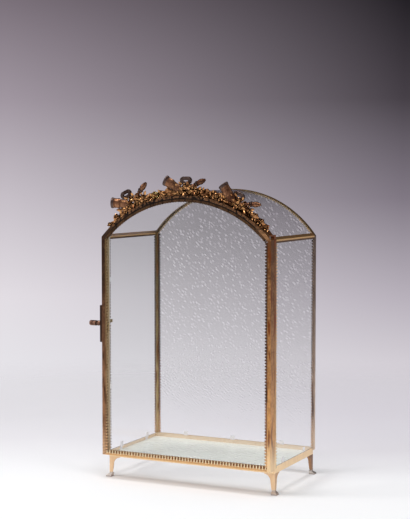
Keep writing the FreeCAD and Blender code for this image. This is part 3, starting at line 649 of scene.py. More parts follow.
def tooth_pattern():
    """Rounded tongue of pressed sheet: X along the edging, Y into the pane, front at Z 0."""
    piece = begin_circle(12, tooth_tip_radius)
    middle = tooth_reach - tooth_tip_radius
    bpy.ops.transform.translate(value=(0.0, middle, -sheet))
    # A straight foot, wider than the round tip
    choose(piece, lambda spot: spot.y < middle - 0.1 * mm)
    bpy.ops.transform.resize(value=(1.25, 0.0, 1.0), center_override=(0.0, 0.3 * mm, 0.0))
    bpy.ops.mesh.select_all(action="SELECT")
    # A back half as it is, and a front half that is drawn in
    bpy.ops.mesh.extrude_region_move(TRANSFORM_OT_translate={"value": (0.0, 0.0, 0.5 * sheet)})
    bpy.ops.mesh.extrude_region_move(TRANSFORM_OT_translate={"value": (0.0, 0.0, 0.5 * sheet)})
    bpy.ops.transform.resize(value=(0.62, 0.82, 1.0), center_override=(0.0, 1.8 * mm, 0.0))
    return close(piece)


def turned_frame(spot, inward, out):
    """Frame at a spot: the way into the pane is Y, the way off the sheet is Z."""
    rows = Matrix((inward.cross(out), inward, out)).transposed().to_4x4()
    return Matrix.Translation(spot) @ rows


def tooth_at(tooth, edging, spot, inward, out):
    fitted = Matrix.Diagonal((edging.width, edging.reach / tooth_reach, 1.0, 1.0))
    return copy_at(tooth, turned_frame(spot, inward, out) @ fitted)


def straight_run(tooth, edging, start, end, inward, out):
    """One straight edging: its row of teeth, then its narrow root strip."""
    start, end, inward, out = Vector(start), Vector(end), Vector(inward), Vector(out)
    length = (end - start).length
    count = round(length / edging.pitch)
    teeth = [tooth_at(tooth, edging, start.lerp(end, (i + 0.5) / count), inward, out)
             for i in range(count)]
    strip = begin_box((length, edging.root, 0.7 * sheet), (0.0, edging.root / 2, -0.6 * sheet))
    choose(strip, lambda spot: spot.z > -0.5 * sheet and spot.y > edging.root / 2)
    bpy.ops.transform.translate(value=(0.0, 0.0, -0.25 * sheet))
    close(strip)
    strip.data.transform(turned_frame(start.lerp(end, 0.5), inward, out))
    return teeth + [strip]


def arch_strip(radius, root, angle, middle, centre, thickness):
    """Flat strip of sheet bent to an arch, as wide as root inside its radius."""
    strip = begin_circle(192, radius, "NOTHING")
    inner = (radius - root) / radius
    bpy.ops.mesh.extrude_edges_move()
    bpy.ops.transform.resize(value=(inner, inner, 1.0), center_override=(0.0, 0.0, 0.0))
    choose(strip, lambda spot: abs(math.atan2(spot.x, spot.y)) > angle)
    bpy.ops.mesh.delete(type="VERT")
    close(strip)
    thicken(strip, thickness)
    strip.data.transform(Matrix.Translation((0.0, middle, centre)) @ turn(90.0, "X"))
    return strip


def arch_run(tooth, edging, opening, face, out):
    """Edging that follows the arch of a hoop: its teeth, then its root strip."""
    count = round(2 * opening.radius * opening.angle / edging.pitch)
    teeth = []
    for i in range(count):
        along = ((i + 0.5) / count * 2.0 - 1.0) * opening.angle
        up = Vector((math.sin(along), 0.0, math.cos(along)))
        spot = Vector((0.0, face, opening.centre)) + up * opening.radius
        teeth.append(tooth_at(tooth, edging, spot, -up, Vector((0.0, out, 0.0))))
    strip = arch_strip(opening.radius, edging.root, opening.angle, face - out * 0.6 * sheet,
                       opening.centre, 0.7 * sheet)
    return teeth + [strip]


def upright_runs(tooth, opening, face, out):
    """Edgings of the left and the right upright of a hoop."""
    return [straight_run(tooth, upright_edging, (side * opening.half, face, opening.low),
                         (side * opening.half, face, opening.top + above_spring),
                         (-side, 0.0, 0.0), (0.0, out, 0.0)) for side in (-1.0, 1.0)]


def settle_brass(name, pieces, finish, body, nodes=()):
    """Joins the pieces of sheet brass and settles them under one finish."""
    settle(coat(joined(name, pieces), finish), body, nodes)


def make_door_edgings(tooth):
    left, right = upright_runs(tooth, door_opening, door_front, -1.0)
    sill = straight_run(tooth, sill_edging, (-door_opening.half, door_front, door_sill_top),
                        (door_opening.half, door_front, door_sill_top),
                        (0.0, 0.0, 1.0), (0.0, -1.0, 0.0))
    arch = arch_run(tooth, door_arch_edging, door_opening, door_front, -1.0)
    settle_brass("door_edging", right, dark_teeth, "door", ["door_gallery"])
    settle_brass("door_arch_band", [arch.pop()], arch_band, "door")
    settle_brass("door_arch_beads", arch, arch_bead, "door")
    settle_brass("door_left_edging", left, stile_teeth, "door")
    settle_brass("door_sill_strip", [sill.pop()], sill_gilding, "door")
    settle_brass("door_sill_edging", sill, sill_teeth, "door")


def make_rear_edgings(tooth):
    left, right = upright_runs(tooth, rear_opening, back_face, 1.0)
    arch = arch_run(tooth, rear_arch_edging, rear_opening, back_face, 1.0)
    settle_brass("rear_edging", left + right, dark_teeth, "cabinet", ["rear_face_gallery"])
    settle_brass("rear_arch_edging", arch, cream_gilding, "cabinet")


def make_side_edgings(tooth):
    """Edgings of the side panes, along the front and the rear hoop's side legs."""
    # The same pressed strip: pale at the front, darker copies as painted shade at the rear
    finishes = {"front_left": pale_teeth, "front_right": pale_teeth,
                "rear_left": dark_teeth, "rear_right": shadow_gilding}
    for title, inward in (("front", 1.0), ("rear", -1.0)):
        for hand, side in (("left", -1.0), ("right", 1.0)):
            x, y = side * case_side, -inward * side_edge
            edge = straight_run(tooth, side_edging, (x, y, side_low), (x, y, side_top),
                                (0.0, inward, 0.0), (side, 0.0, 0.0))
            corner = title + "_" + hand
            settle_brass(corner + "_side_edging", edge, finishes[corner], "cabinet",
                         [title + "_side_gallery"] if hand == "left" else [])


# Latch

plate_depth, plate_bevel = 3.3 * mm, 0.9 * mm
rivet_inset = 4.5 * mm


def make_lock_plate():
    """Lock plate on the door's left edge, held by two rivets."""
    low, high = [Vector(corner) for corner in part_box("latch_case")]
    front = door_front + 0.1 * mm
    across, level, upright = -case_side - plate_depth / 2, (high.y + front) / 2, (high.z + low.z) / 2
    plate = begin_box((plate_depth, high.y - front, high.z - low.z), (across, level, upright))
    choose(plate, lambda spot: spot.x < across)
    bpy.ops.mesh.bevel(offset=plate_bevel, segments=2, affect="EDGES")
    parts = [close(plate)]
    for height in (low.z + rivet_inset, high.z - rivet_inset):
        rivet = turned_form("rivet", [(0.0, 1.5 * mm), (0.4 * mm, 1.4 * mm), (0.8 * mm, 0.8 * mm)], 12)
        rivet.data.transform(Matrix.Translation((-case_side - plate_depth, level, height))
                             @ turn(-90.0, "Y"))
        parts.append(rivet)
    settle_brass("lock_plate", parts, lock_bronze, "door", ["latch_case"])


# Crest, whose places and sizes on_crest, laid and aimed take in millimetres

# Where its outline ends, in front and above
crest_front, crest_top = door_front + 0.1 * mm, 366.2 * mm

# A dark strip behind it: painted shade that fills the gaps in the crest
backing_radius, backing_width, backing_sheet = 147.6 * mm, 4.0 * mm, 0.4 * mm
backing_middle = -64.6 * mm
backing_angle = 0.9 * arch_half_angle

# Each trophy: its share of the way from the crown to the arch's end, its lift and how far
# its bow is shifted
trophies = (("left", -0.545, 2.2, (-5.0, 0.0, 2.0)), ("centre", 0.0, 0.0, (0.4, 0.0, 0.6)),
            ("right", 0.535, 0.0, (-3.0, 0.0, -2.4)))

# Places on a trophy, across and above the crown, and how far its horns stand out
rose_places = ((-14.2, 5.0), (-4.8, 4.6), (4.8, 4.6), (13.6, 5.0), (-0.4, 10.6), (8.0, 10.2))
quiver_root, quiver_mouth, quiver_out = (-6.0, 6.2), (-26.6, 18.0), 3.9
torch_root, torch_tip, torch_out = (1.2, 7.4), (26.4, 18.4), 4.2
quiver_length = math.dist(quiver_root, quiver_mouth) * mm
torch_length = math.dist(torch_root, torch_tip) * mm
rose_size = 4.9

# Leaves that stick out round a trophy's roses: across, up, out, spin, lean and length
spray = ((-18.0, 4.0, 1.6, 62, 20, 6.5), (-16.0, 8.0, 1.8, 48, 28, 5.6),
         (-9.5, 3.4, 3.0, 100, 25, 6.0), (-9.0, 9.0, 3.2, 30, 35, 5.2),
         (-5.0, 12.0, 2.4, 38, 25, 4.8), (0.0, 4.0, 4.2, 170, 30, 5.6),
         (2.6, 11.6, 2.4, -14, 30, 5.0), (4.2, 8.6, 4.2, -60, 30, 5.0),
         (9.4, 3.6, 3.6, -120, 25, 5.6), (11.0, 11.4, 2.0, -40, 25, 5.0),
         (16.2, 6.6, 2.0, -58, 25, 6.0), (17.0, 3.6, 1.6, -84, 18, 6.0),
         (-2.4, 7.6, 4.4, 75, 35, 4.8), (13.2, 8.8, 2.6, -30, 30, 4.8),
         (-12.6, 6.0, 3.6, 20, 30, 5.0), (6.4, 6.0, 4.6, 20, 40, 4.4),
         (-6.6, 6.6, 4.6, -30, 40, 4.4), (1.6, 8.8, 4.8, 110, 40, 4.2),
         (-11.4, 3.0, 4.4, -70, 35, 4.6), (12.0, 4.0, 4.4, 60, 35, 4.6))

# Single flowers of the garland: share of the way along the arch, rise and radius. One is
# brighter than the rest.
garland_buds = ((-0.87, 4.6, 3.0), (-0.77, 5.6, 3.6), (-0.39, 4.8, 3.0), (-0.315, 5.6, 4.2),
                (-0.235, 4.6, 3.0), (0.235, 4.6, 3.0), (0.31, 4.8, 3.4), (0.78, 4.4, 3.2),
                (0.86, 3.8, 2.6))
gilt_bud = 3

# Rows of the garland's leaves: rise, spin, lean and length
leaf_rows = ((1.3, 95.0, 14.0, 5.4), (4.0, 60.0, 24.0, 5.6), (6.4, 28.0, 20.0, 5.0))
garland_reach, leaves_to_a_side = 0.90, 30


def on_crest(share, lift=0.0):
    """Frame of a trophy: X across, -Y outwards, Z up from the crown of the door's arch."""
    return (Matrix.Translation((0.0, 0.0, arch_centre))
            @ Matrix.Rotation(share * arch_half_angle, 4, "Y")
            @ Matrix.Translation((0.0, crest_wall, arch_crown - arch_centre + lift * mm)))


def laid(across, up, out=0.0, spin=0.0, lean=0.0, size=1.0):
    """Lays a form that faces +Z on the crest's wall: spun in the wall, then leaned out of it."""
    return (Matrix.Translation((across * mm, -out * mm, up * mm)) @ turn(90.0, "X")
            @ turn(spin, "Z") @ turn(lean, "X") @ Matrix.Scale(size, 4))


def aimed(root, tip, out):
    """Points a form turned about +Z from root to tip, along the crest's wall."""
    across, up = tip[0] - root[0], tip[1] - root[1]
    return (Matrix.Translation((root[0] * mm, -out * mm, root[1] * mm))
            @ Matrix.Rotation(math.atan2(across, up), 4, "Y"))


def petal_pattern():
    """Cupped petal, 1 mm long along +Y, its root at the origin."""
    piece = begin_circle(9, 0.5 * mm, "TRIFAN")
    bpy.ops.transform.translate(value=(0.0, 0.5 * mm, 0.0))
    # Its tip curls up, its root is narrow and its middle is sunk
    choose(piece, lambda spot: spot.y > 0.6 * mm)
    bpy.ops.transform.translate(value=(0.0, 0.0, 0.30 * mm))
    choose(piece, lambda spot: spot.y < 0.2 * mm)
    bpy.ops.transform.resize(value=(0.5, 1.0, 1.0))
    choose(piece, lambda spot: abs(spot.x) < 0.1 * mm and 0.4 * mm < spot.y < 0.6 * mm)
    bpy.ops.transform.translate(value=(0.0, 0.0, -0.14 * mm))
    return thicken(close(piece), 0.16 * mm)


def leaf_pattern():
    """Pointed leaf, 1 mm long along +Y, ridged along its middle."""
    piece = begin_circle(10, 0.5 * mm, "TRIFAN")
    bpy.ops.transform.translate(value=(0.0, 0.5 * mm, 0.0))
    bpy.ops.transform.resize(value=(0.62, 1.0, 1.0), center_override=(0.0, 0.5 * mm, 0.0))
    # Its middle is raised, and its tip is drawn out and hangs, as its root does
    choose(piece, lambda spot: abs(spot.x) < 0.02 * mm)
    bpy.ops.transform.translate(value=(0.0, 0.0, 0.16 * mm))
    choose(piece, lambda spot: spot.y > 0.95 * mm)
    bpy.ops.transform.translate(value=(0.0, 0.22 * mm, -0.20 * mm))
    choose(piece, lambda spot: spot.y < 0.05 * mm)
    bpy.ops.transform.translate(value=(0.0, 0.0, -0.12 * mm))
    return thicken(close(piece), 0.12 * mm)


def rose_pattern(petal):
    """Open rose, 1 mm across the half, facing +Z: two rings of petals round a bud."""
    parts = [turned_form("rose_heart", [(0.0, 0.30 * mm), (0.35 * mm, 0.36 * mm),
                                        (0.72 * mm, 0.26 * mm), (0.84 * mm, 0.06 * mm)], 7)]
    for size, rise, lean, start in ((0.92, 0.10, 22.0, 0.0), (0.66, 0.30, 40.0, 36.0)):
        for i in range(5):
            parts.append(copy_at(petal, Matrix.Translation((0.0, 0.0, rise * mm))
                                 @ turn(start + i * 72.0, "Z") @ turn(lean, "X")
                                 @ Matrix.Scale(size, 4)))
    return joined("rose_pattern", parts)


def flower_pattern(petal):
    """Small open flower of five petals round a raised eye."""
    eye = turned_form("flower_eye", [(0.0, 0.24 * mm), (0.34 * mm, 0.26 * mm),
                                     (0.52 * mm, 0.10 * mm)], 6)
    petals = [copy_at(petal, turn(i * 72.0, "Z") @ turn(16.0, "X")) for i in range(5)]
    return joined("flower_pattern", [eye] + petals)


def fluted(piece, bottom, top, step, depth, squash=1.0):
    """Draws every other line of points of a turned form inwards, from bottom to top."""
    begin(piece)
    choose(piece, lambda spot: bottom < spot.z < top
           and round(math.degrees(math.atan2(spot.y * squash, spot.x)) / step) % 2 == 0)
    bpy.ops.transform.resize(value=depth)
    return close(piece)


def quiver_pattern(leaf):
    """Flared quiver with a collar and a band of gadroons, its mouth full of arrow feathers."""
    rings = [(0.0, 2.6), (0.04, 3.6), (0.10, 4.8), (0.13, 5.3), (0.17, 4.9), (0.50, 5.3),
             (0.54, 6.0), (0.60, 6.1), (0.66, 5.7), (0.84, 5.9), (0.90, 6.5), (0.97, 6.5),
             (1.0, 5.6), (1.015, 3.6)]
    tube = turned_form("quiver_tube", [(share * quiver_length, radius * mm)
                                       for share, radius in rings], 20, 0.5)
    fluted(tube, 0.2 * quiver_length, 0.5 * quiver_length, 18.0, (0.92, 0.90, 1.0), 2.0)
    coat(tube, horn_bronze)
    second_coat(tube, ribbon_bronze, lambda middle: middle.z > 0.82 * quiver_length)
    parts = [tube]
    for i in range(9):
        across = (i - 4) * 1.15
        place = (Matrix.Translation((across * mm, 0.5 * math.cos(i * 2.1) * mm,
                                     0.80 * quiver_length))
                 @ turn(across * 5.0, "Y") @ turn(90.0, "X") @ turn(40.0 * (-1) ** i, "Y")
                 @ Matrix.Diagonal((2.2, 3.0 + 0.5 * math.sin(i * 1.7), 2.6, 1.0)))
        parts.append(coat(copy_at(leaf, place), ribbon_bronze))
    return joined("quiver_pattern", parts)


def torch_pattern(leaf):
    """Torch: a fluted shaft, two collars, a cup and a pine cone of laid scales."""
    rings = [(0.0, 1.3), (0.42, 1.5), (0.45, 2.4), (0.48, 2.5), (0.50, 1.9), (0.54, 3.2),
             (0.59, 3.4), (0.61, 2.5), (0.66, 2.9), (0.74, 3.4), (0.83, 3.0), (0.93, 1.6),
             (1.0, 0.2)]
    scales = ((0.62, 2.5, 8), (0.69, 3.0, 8), (0.76, 3.1, 8), (0.83, 2.6, 7), (0.89, 1.9, 5))
    staff = turned_form("torch_staff", [(share * torch_length, radius * mm)
                                        for share, radius in rings], 12)
    fluted(staff, -1.0 * mm, 0.43 * torch_length, 30.0, (0.72, 0.72, 1.0))
    coat(staff, horn_bronze)
    second_coat(staff, ribbon_bronze,
                lambda middle: 0.50 * torch_length < middle.z < 0.62 * torch_length)
    parts = [staff]
    for row, (share, radius, count) in enumerate(scales):
        for i in range(count):
            place = (turn((i + row / 2.0) * 360.0 / count, "Z")
                     @ Matrix.Translation((radius * mm, 0.0, share * torch_length))
                     @ turn(90.0, "Z") @ turn(74.0, "X") @ Matrix.Diagonal((3.0, 2.8, 3.0, 1.0)))
            parts.append(coat(copy_at(leaf, place), horn_bronze))
    return joined("torch_pattern", parts)


def ribbon_loop():
    """Stout loop of a bow, pinched at its top."""
    half_width, half_height, depth = 5.9, 3.5, 2.6 * mm
    loop = begin_circle(18, 1.0 * mm, "NOTHING")
    bpy.ops.transform.resize(value=(half_width, half_height, 1.0))
    choose(loop, lambda spot: spot.y > 0.9 * half_height * mm)
    bpy.ops.transform.translate(value=(0.0, -0.8 * mm, 0.0))
    bpy.ops.mesh.select_all(action="SELECT")
    bpy.ops.mesh.extrude_edges_move(TRANSFORM_OT_translate={"value": (0.0, 0.0, depth)})
    bpy.ops.transform.resize(value=(0.94, 0.94, 1.0))
    thicken(close(loop), 4.2 * mm)
    begin(loop)
    bpy.ops.mesh.select_all(action="SELECT")
    bpy.ops.mesh.bevel(offset=0.45 * mm, segments=1, affect="EDGES")
    close(loop)
    loop.data.transform(laid(-0.4, 16.7, 0.2))
    return loop


def ribbon_tail(side):
    """Forked tail of a bow, waved and turned out to one side."""
    bpy.ops.object.select_all(action="DESELECT")
    bpy.ops.mesh.primitive_grid_add(x_subdivisions=2, y_subdivisions=6, size=1.0 * mm,
                                    location=(0.0, 0.0, 0.0))
    tail = bpy.context.object
    begin(tail)
    bpy.ops.mesh.select_all(action="SELECT")
    bpy.ops.transform.resize(value=(2.6, 9.0, 1.0))
    for way in (-1, 1):
        choose(tail, lambda spot: abs(spot.y - way * 1.5 * mm) < 0.9 * mm)
        bpy.ops.transform.translate(value=(0.5 * mm, 0.0, way * 0.5 * mm))
    choose(tail, lambda spot: spot.y < -4.4 * mm and abs(spot.x) < 0.3 * mm)
    bpy.ops.transform.translate(value=(0.0, 1.6 * mm, 0.0))
    thicken(close(tail), 0.9 * mm)
    tail.data.transform(laid(side * 3.0, 10.4, 1.4, side * 25.0))
    return tail


def ribbon_pattern():
    """Bow of ribbon: one stout arched loop, a knot and two forked tails."""
    loop = ribbon_loop()
    knot = turned_form("knot", [(0.0, 1.4 * mm), (1.2 * mm, 2.2 * mm), (2.6 * mm, 1.8 * mm),
                                (3.2 * mm, 0.8 * mm)], 8)
    knot.data.transform(laid(-0.4, 13.6))
    return joined("ribbon_pattern", [loop, knot, ribbon_tail(-1.0), ribbon_tail(1.0)])


def garland_leaves():
    """Leaves laid along the arch in three rows, all turned away from the crown."""
    places = []
    for side in (-1.0, 1.0):
        for i in range(leaves_to_a_side):
            share = side * garland_reach * (i + 0.5) / leaves_to_a_side
            fall = 1.0 - 0.45 * (share / garland_reach) ** 2
            rise, spin, lean, length = leaf_rows[i % 3]
            wobble = 12.0 * math.sin(i * 2.4)
            places.append(on_crest(share) @ laid(0.0, rise * fall, 0.7 + 0.5 * (i % 2),
                                                 -side * (spin + wobble), lean, length * fall))
            filler_rise = (1.2 + 5.0 * ((i * 7) % 5) / 5.0) * fall
            places.append(on_crest(share + side * 0.012)
                          @ laid(0.0, filler_rise, 1.5, -side * (150.0 - spin) + wobble,
                                 32.0, 3.8 * fall))
    return places


def held_back(piece):
    """Presses back the tips that stand out of the crest's outline."""
    begin(piece)
    for stands_out, pressed, line in (
            (lambda spot: spot.y < crest_front, (1.0, 0.0, 1.0), (0.0, crest_front, 0.0)),
            (lambda spot: spot.z > crest_top, (1.0, 1.0, 0.0), (0.0, 0.0, crest_top))):
        if any(stands_out(point.co) for point in bmesh.from_edit_mesh(piece.data).verts):
            choose(piece, stands_out)
            bpy.ops.transform.resize(value=pressed, center_override=line)
    bpy.ops.object.mode_set(mode="OBJECT")
    return piece


def settle_on_crest(piece, nodes=()):
    settle(held_back(piece), "cabinet", nodes)


def make_trophy(side, share, lift, bow_shift, quiver, torch, ribbon, rose, leaf):
    """Quiver and torch crossed behind a bow of ribbon and a spray of roses."""
    crown = on_crest(share, lift)
    settle_on_crest(copy_at(quiver, crown @ aimed(quiver_root, quiver_mouth, quiver_out),
                            "quiver_" + side), [side + "_quiver"])
    settle_on_crest(copy_at(torch, crown @ aimed(torch_root, torch_tip, torch_out),
                            "torch_" + side), [side + "_torch"])
    shift = Matrix.Translation(Vector(bow_shift) * mm)
    settle_on_crest(copy_at(ribbon, crown @ shift, "ribbon_" + side), [side + "_ribbon"])
    flowers = [copy_at(rose, crown @ laid(across, up, 0.6, 40.0 * i, 12.0 * math.sin(i), rose_size))
               for i, (across, up) in enumerate(rose_places)]
    leaves = [copy_at(leaf, crown @ laid(*place)) for place in spray]
    settle_on_crest(joined("roses_" + side, flowers + leaves), [side + "_roses"])


def make_crest():
    """Three trophies on the arch, and the garland that runs under them."""
    # Painted shade: a dark strip behind the crest's gaps
    shade_strip = arch_strip(backing_radius, backing_width, backing_angle, backing_middle,
                         arch_centre, backing_sheet)
    shade_strip.name = shade_strip.data.name = "crest_shade_backing"
    settle_on_crest(coat(shade_strip, ribbon_bronze))
    petal = coat(petal_pattern(), crest_gilding)
    leaf = coat(leaf_pattern(), crest_gilding)
    rose = coat(rose_pattern(petal), crest_gilding)
    flower = coat(flower_pattern(petal), crest_gilding)
    quiver = quiver_pattern(leaf)
    torch = torch_pattern(leaf)
    ribbon = coat(ribbon_pattern(), ribbon_bronze)
    for side, share, lift, bow_shift in trophies:
        make_trophy(side, share, lift, bow_shift, quiver, torch, ribbon, rose, leaf)
    buds = [copy_at(flower if i % 2 else rose,
                    on_crest(share) @ laid(0.0, rise, 0.9, 50.0 * i, 8.0, radius * 1.1))
            for i, (share, rise, radius) in enumerate(garland_buds)]
    settle_on_crest(coat(joined("gilt_flower", [buds.pop(gilt_bud)]), bright_gilding))
    settle_on_crest(joined("garland_flowers", buds), ["crest_buds"])
    leaves = [copy_at(leaf, place) for place in garland_leaves()]
    settle_on_crest(joined("garland_leaves", leaves))
    for pattern in (petal, leaf, rose, flower, quiver, torch, ribbon):
        bpy.data.objects.remove(pattern)


# The finishes themselves: colours where bright, dark, rusty and low down, then the heights
# between which painted shade darkens the metal, how blotchy it is and its gloss

tarnish_and_shade = tarnish_and_shade_group()
ribbing = ribs_group()
figuring = figure_group()

white = (255, 255, 255)
# Paler gilt low down: painted light that the white table throws on the metal
pale_gilt = (255, 224, 178)
# Dark wax, with painted shade, laid into recesses
wax_and_shade = (30, 20, 14)
hoof_grey = (224, 215, 207)
# Painted highlight along the spring rails' ridge, and painted shade under it
ridge_highlight, shade_under_ridge = (226, 182, 126), (92, 62, 32)

hoof = (0.0, 10.0 * mm, [(0.42, hoof_grey, 1.0), (0.60, hoof_grey, 0.0)])
# Painted light and shade across the spring rails' ridge
ridge_light_and_shade = (288.9 * mm, 295.7 * mm, [(0.24, shade_under_ridge, 1.0), (0.36, ridge_highlight, 1.0),
                                       (0.52, ridge_highlight, 1.0), (0.62, ridge_highlight, 0.0)])
tooth_shadows = (tooth_pitch, (84, 60, 40), 126.0 * mm, 80.0 * mm)
# Painted shade between the stile's pressed ribs
stile_ribs = (1.8 * mm, (128, 88, 60), 118.0 * mm, 70.0 * mm)

# Case and door
worn_and_shaded_gilding = gilding("worn_and_shaded_gilding", (232, 180, 126), (122, 84, 58), (150, 84, 44), pale_gilt,
                       (0.05, 0.30), 0.8, (0.28, 0.45))
post_gilding = gilding("post_gilding", (226, 172, 108), (126, 84, 48), (146, 78, 34), pale_gilt,
                       (0.05, 0.30), 0.8, (0.28, 0.45))
door_gilding = gilding("door_gilding", (228, 170, 108), (112, 72, 42), (122, 62, 28), pale_gilt,
                       (0.05, 0.28), 0.9, (0.28, 0.5))
sill_gilding = gilding("sill_gilding", (214, 160, 108), (180, 124, 78), (156, 92, 50),
                       (232, 184, 128), (0.05, 0.28), 0.9, (0.28, 0.5), metal=0.6)
sill_shadow = gilding("sill_shadow", (156, 104, 62), (112, 70, 40), (112, 68, 38),
                      (176, 122, 76), (0.05, 0.30), 0.6, (0.34, 0.5))
stile_gilding = gilding("stile_gilding", (180, 130, 94), (56, 36, 26), (76, 44, 28),
                        (236, 194, 154), (0.03, 0.25), 0.6, (0.34, 0.5), ribs=stile_ribs)
# Near white and without metal: painted light on the front left post, which stands in shade
inner_gilding = gilding("inner_gilding", (255, 234, 194), (240, 214, 172), (236, 200, 152),
                        (255, 236, 200), (0.03, 0.24), 0.6, (0.36, 0.5), metal=0.0,
                        inside=(255, 253, 250))
rear_post_gilding = gilding("rear_post_gilding", (255, 232, 178), (150, 126, 78),
                            (170, 120, 70), (252, 226, 186), (0.03, 0.25), 0.6, (0.3, 0.42),
                            metal=0.5)
rail_gilding = gilding("rail_gilding", (190, 142, 96), (132, 100, 64), (136, 90, 58), pale_gilt,
                       (0.03, 0.27), 0.6, (0.3, 0.42), metal=0.55, bands=ridge_light_and_shade)
cream_gilding = gilding("cream_gilding", (250, 232, 204), (206, 184, 156), (222, 184, 140),
                        (244, 226, 200), (0.03, 0.24), 0.6, (0.3, 0.42), metal=0.25)
shadow_gilding = gilding("shadow_gilding", (216, 190, 166), (84, 68, 60), (104, 80, 64),
                         (240, 214, 186), (0.03, 0.33), 0.5, (0.34, 0.5))
arch_gilding = gilding("arch_gilding", (196, 166, 122), (104, 84, 54), (112, 84, 56), pale_gilt,
                       (0.03, 0.26), 0.6, (0.3, 0.45), metal=0.6)
chased_arch = chased_arch_material("chased_arch", (126, 88, 58), (28, 20, 15), (64, 45, 33),
                                   (160, 118, 80))
foot_gilding = gilding("foot_gilding", (250, 220, 182), (224, 172, 130), (212, 146, 100),
                       (248, 212, 170), (0.0, 0.03), 1.4, (0.28, 0.45), 0.3 * mm, 0.5,
                       recess=(92, 56, 34), reach=3.0 * mm, grazing_shade=(150, 96, 60), bands=hoof)
# A darker copy of the foot finish: painted shade on the rear feet
rear_foot_gilding = gilding("rear_foot_gilding", (214, 176, 142), (150, 110, 80), (140, 94, 64),
                            (176, 134, 102), (0.0, 0.03), 1.4, (0.28, 0.45), 0.3 * mm, 0.6,
                            recess=(72, 46, 30), reach=3.0 * mm, grazing_shade=(92, 60, 40), bands=hoof)

# Toothed edgings
dark_teeth = gilding("dark_teeth", (160, 112, 80), (74, 50, 36), (64, 42, 30),
                     (235, 190, 140), (0.03, 0.20), 0.6, (0.34, 0.5))
pale_teeth = gilding("pale_teeth", (255, 242, 222), (196, 168, 140), (232, 190, 138),
                     (255, 226, 170), (0.05, 0.30), 0.6, (0.26, 0.4), metal=0.3,
                     recess=(96, 58, 34), reach=1.5 * mm)
sill_teeth = gilding("sill_teeth", (255, 240, 205), (236, 196, 144), (226, 166, 110),
                     (255, 232, 190), (0.05, 0.30), 0.6, (0.26, 0.4), metal=0.45,
                     recess=(104, 60, 32), reach=1.5 * mm)
stile_teeth = gilding("stile_teeth", (168, 136, 98), (112, 90, 58), (108, 80, 50),
                      (226, 180, 136), (0.03, 0.26), 0.6, (0.3, 0.42), metal=0.6,
                      ribs=tooth_shadows)
arch_band = gilding("arch_band", (92, 66, 44), (38, 27, 20), (44, 30, 20), pale_gilt,
                    (0.28, 0.62), 0.8, (0.34, 0.5))
arch_bead = gilding("arch_bead", (108, 80, 54), (40, 30, 21), (56, 38, 26), pale_gilt,
                    (0.28, 0.46), 1.0, (0.28, 0.5))

# Latch, hinge and clips
lock_bronze = gilding("lock_bronze", (74, 49, 37), (38, 24, 17), (40, 23, 15), pale_gilt,
                      (0.10, 0.30), 1.0, (0.34, 0.5), metal=0.6)
latch_bronze = gilding("latch_bronze", (170, 128, 104), (92, 62, 50), (72, 46, 36), pale_gilt,
                       (0.10, 0.30), 1.4, (0.3, 0.5), metal=0.6, recess=wax_and_shade, reach=1.6 * mm,
                       grazing_shade=(66, 42, 22))
dull_nickel = gilding("dull_nickel", (246, 244, 247), (226, 224, 227), (234, 230, 228),
                      (250, 249, 251), (0.03, 0.24), 0.6, (0.3, 0.4), 0.1 * mm, 0.1)
pin_steel = gilding("pin_steel", (170, 168, 165), (92, 86, 82), (110, 96, 84), (170, 168, 165),
                    (0.0, 0.8), 0.8, (0.3, 0.5), 0.1 * mm, 1.0)

# Crest
crest_gilding = gilding("crest_gilding", (224, 166, 108), (92, 62, 42), (118, 72, 44), pale_gilt,
                        (0.27, 0.58), 1.8, (0.15, 0.40), 0.3 * mm, 0.92, recess=wax_and_shade,
                        reach=3.2 * mm, grazing_shade=(42, 27, 18))
horn_bronze = gilding("horn_bronze", (164, 116, 84), (68, 45, 34), (84, 50, 34), pale_gilt,
                      (0.27, 0.43), 1.6, (0.24, 0.5), 0.3 * mm, 0.85, recess=wax_and_shade,
                      grazing_shade=(36, 22, 16))
ribbon_bronze = gilding("ribbon_bronze", (104, 84, 76), (48, 38, 36), (60, 42, 36), pale_gilt,
                        (0.28, 0.46), 1.2, (0.22, 0.5), 0.3 * mm, 0.8, grazing_shade=(30, 22, 20))
bright_gilding = gilding("bright_gilding", (255, 226, 150), (210, 164, 92), (220, 170, 90),
                         pale_gilt, (0.30, 0.60), 0.8, (0.14, 0.3), metal=0.95, recess=wax_and_shade)

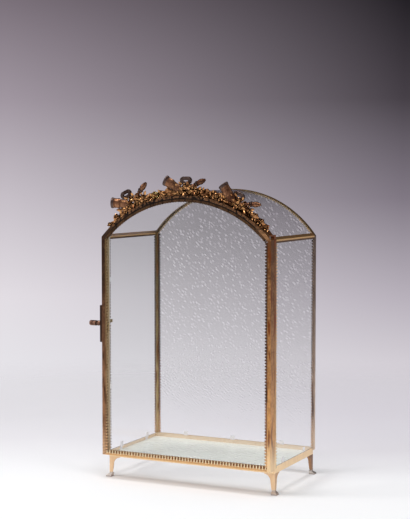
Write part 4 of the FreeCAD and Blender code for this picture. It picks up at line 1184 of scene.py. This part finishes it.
# Glass
clear_glass = glass("clear_glass", (254, 254, 254), (240, 242, 241), 1.18)
top_pane_glass = glass("top_pane_glass", white, (250, 250, 250), 1.06)
figured_glass = glass("figured_glass", white, (220, 221, 219), 1.22, 235.0, 0.3 * mm, rough=0.08)
green_glass = glass("green_glass", (252, 255, 248), (252, 255, 248), 1.3, 190.0, 0.8 * mm, 90.0,
                    0.2, 0.12)

part_finishes = {
    "left_side_glass": clear_glass, "right_side_glass": clear_glass, "door_glass": clear_glass,
    "top_glass": top_pane_glass, "rear_glass": figured_glass, "floor_glass": green_glass,
    "door_arch": chased_arch, "door_left_stile": stile_gilding, "door_bottom_rail": sill_gilding,
    "front_right_post": post_gilding, "front_left_post": inner_gilding,
    "front_sill": sill_shadow, "rear_left_post": rear_post_gilding,
    "rear_right_post": shadow_gilding, "rear_arch": arch_gilding, "rear_sill": cream_gilding,
    "base_rear_rail": cream_gilding, "base_left_rail": cream_gilding,
    "left_spring_rail": rail_gilding, "right_spring_rail": rail_gilding,
    "front_left_foot": foot_gilding, "front_right_foot": foot_gilding,
    "rear_left_foot": rear_foot_gilding, "rear_right_foot": rear_foot_gilding,
    "glass_clips": dull_nickel, "hinge_pins": pin_steel, "latch_hook": rear_post_gilding,
    "latch_keeper": rear_post_gilding, "latch_spindle": rear_post_gilding}
crest_words = ("crest_", "_quiver", "_torch", "_ribbon", "_roses")


def finish_parts():
    """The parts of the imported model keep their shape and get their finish."""
    for name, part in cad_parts.items():
        if name in part_finishes:
            coat(part, part_finishes[name])
        elif any(word in name for word in crest_words):
            coat(part, crest_gilding)
        elif name.startswith("latch_"):
            coat(part, latch_bronze)
        elif name.startswith("door_"):
            coat(part, door_gilding)
        else:
            coat(part, worn_and_shaded_gilding)


def make_edgings():
    tooth = tooth_pattern()
    make_door_edgings(tooth)
    make_rear_edgings(tooth)
    make_side_edgings(tooth)
    bpy.data.objects.remove(tooth)


set_camera()
set_backdrop()
set_floor()
set_lamps()
finish_parts()
make_edgings()
make_lock_plate()
make_crest()

bpy.context.scene.view_settings.view_transform = "Standard"
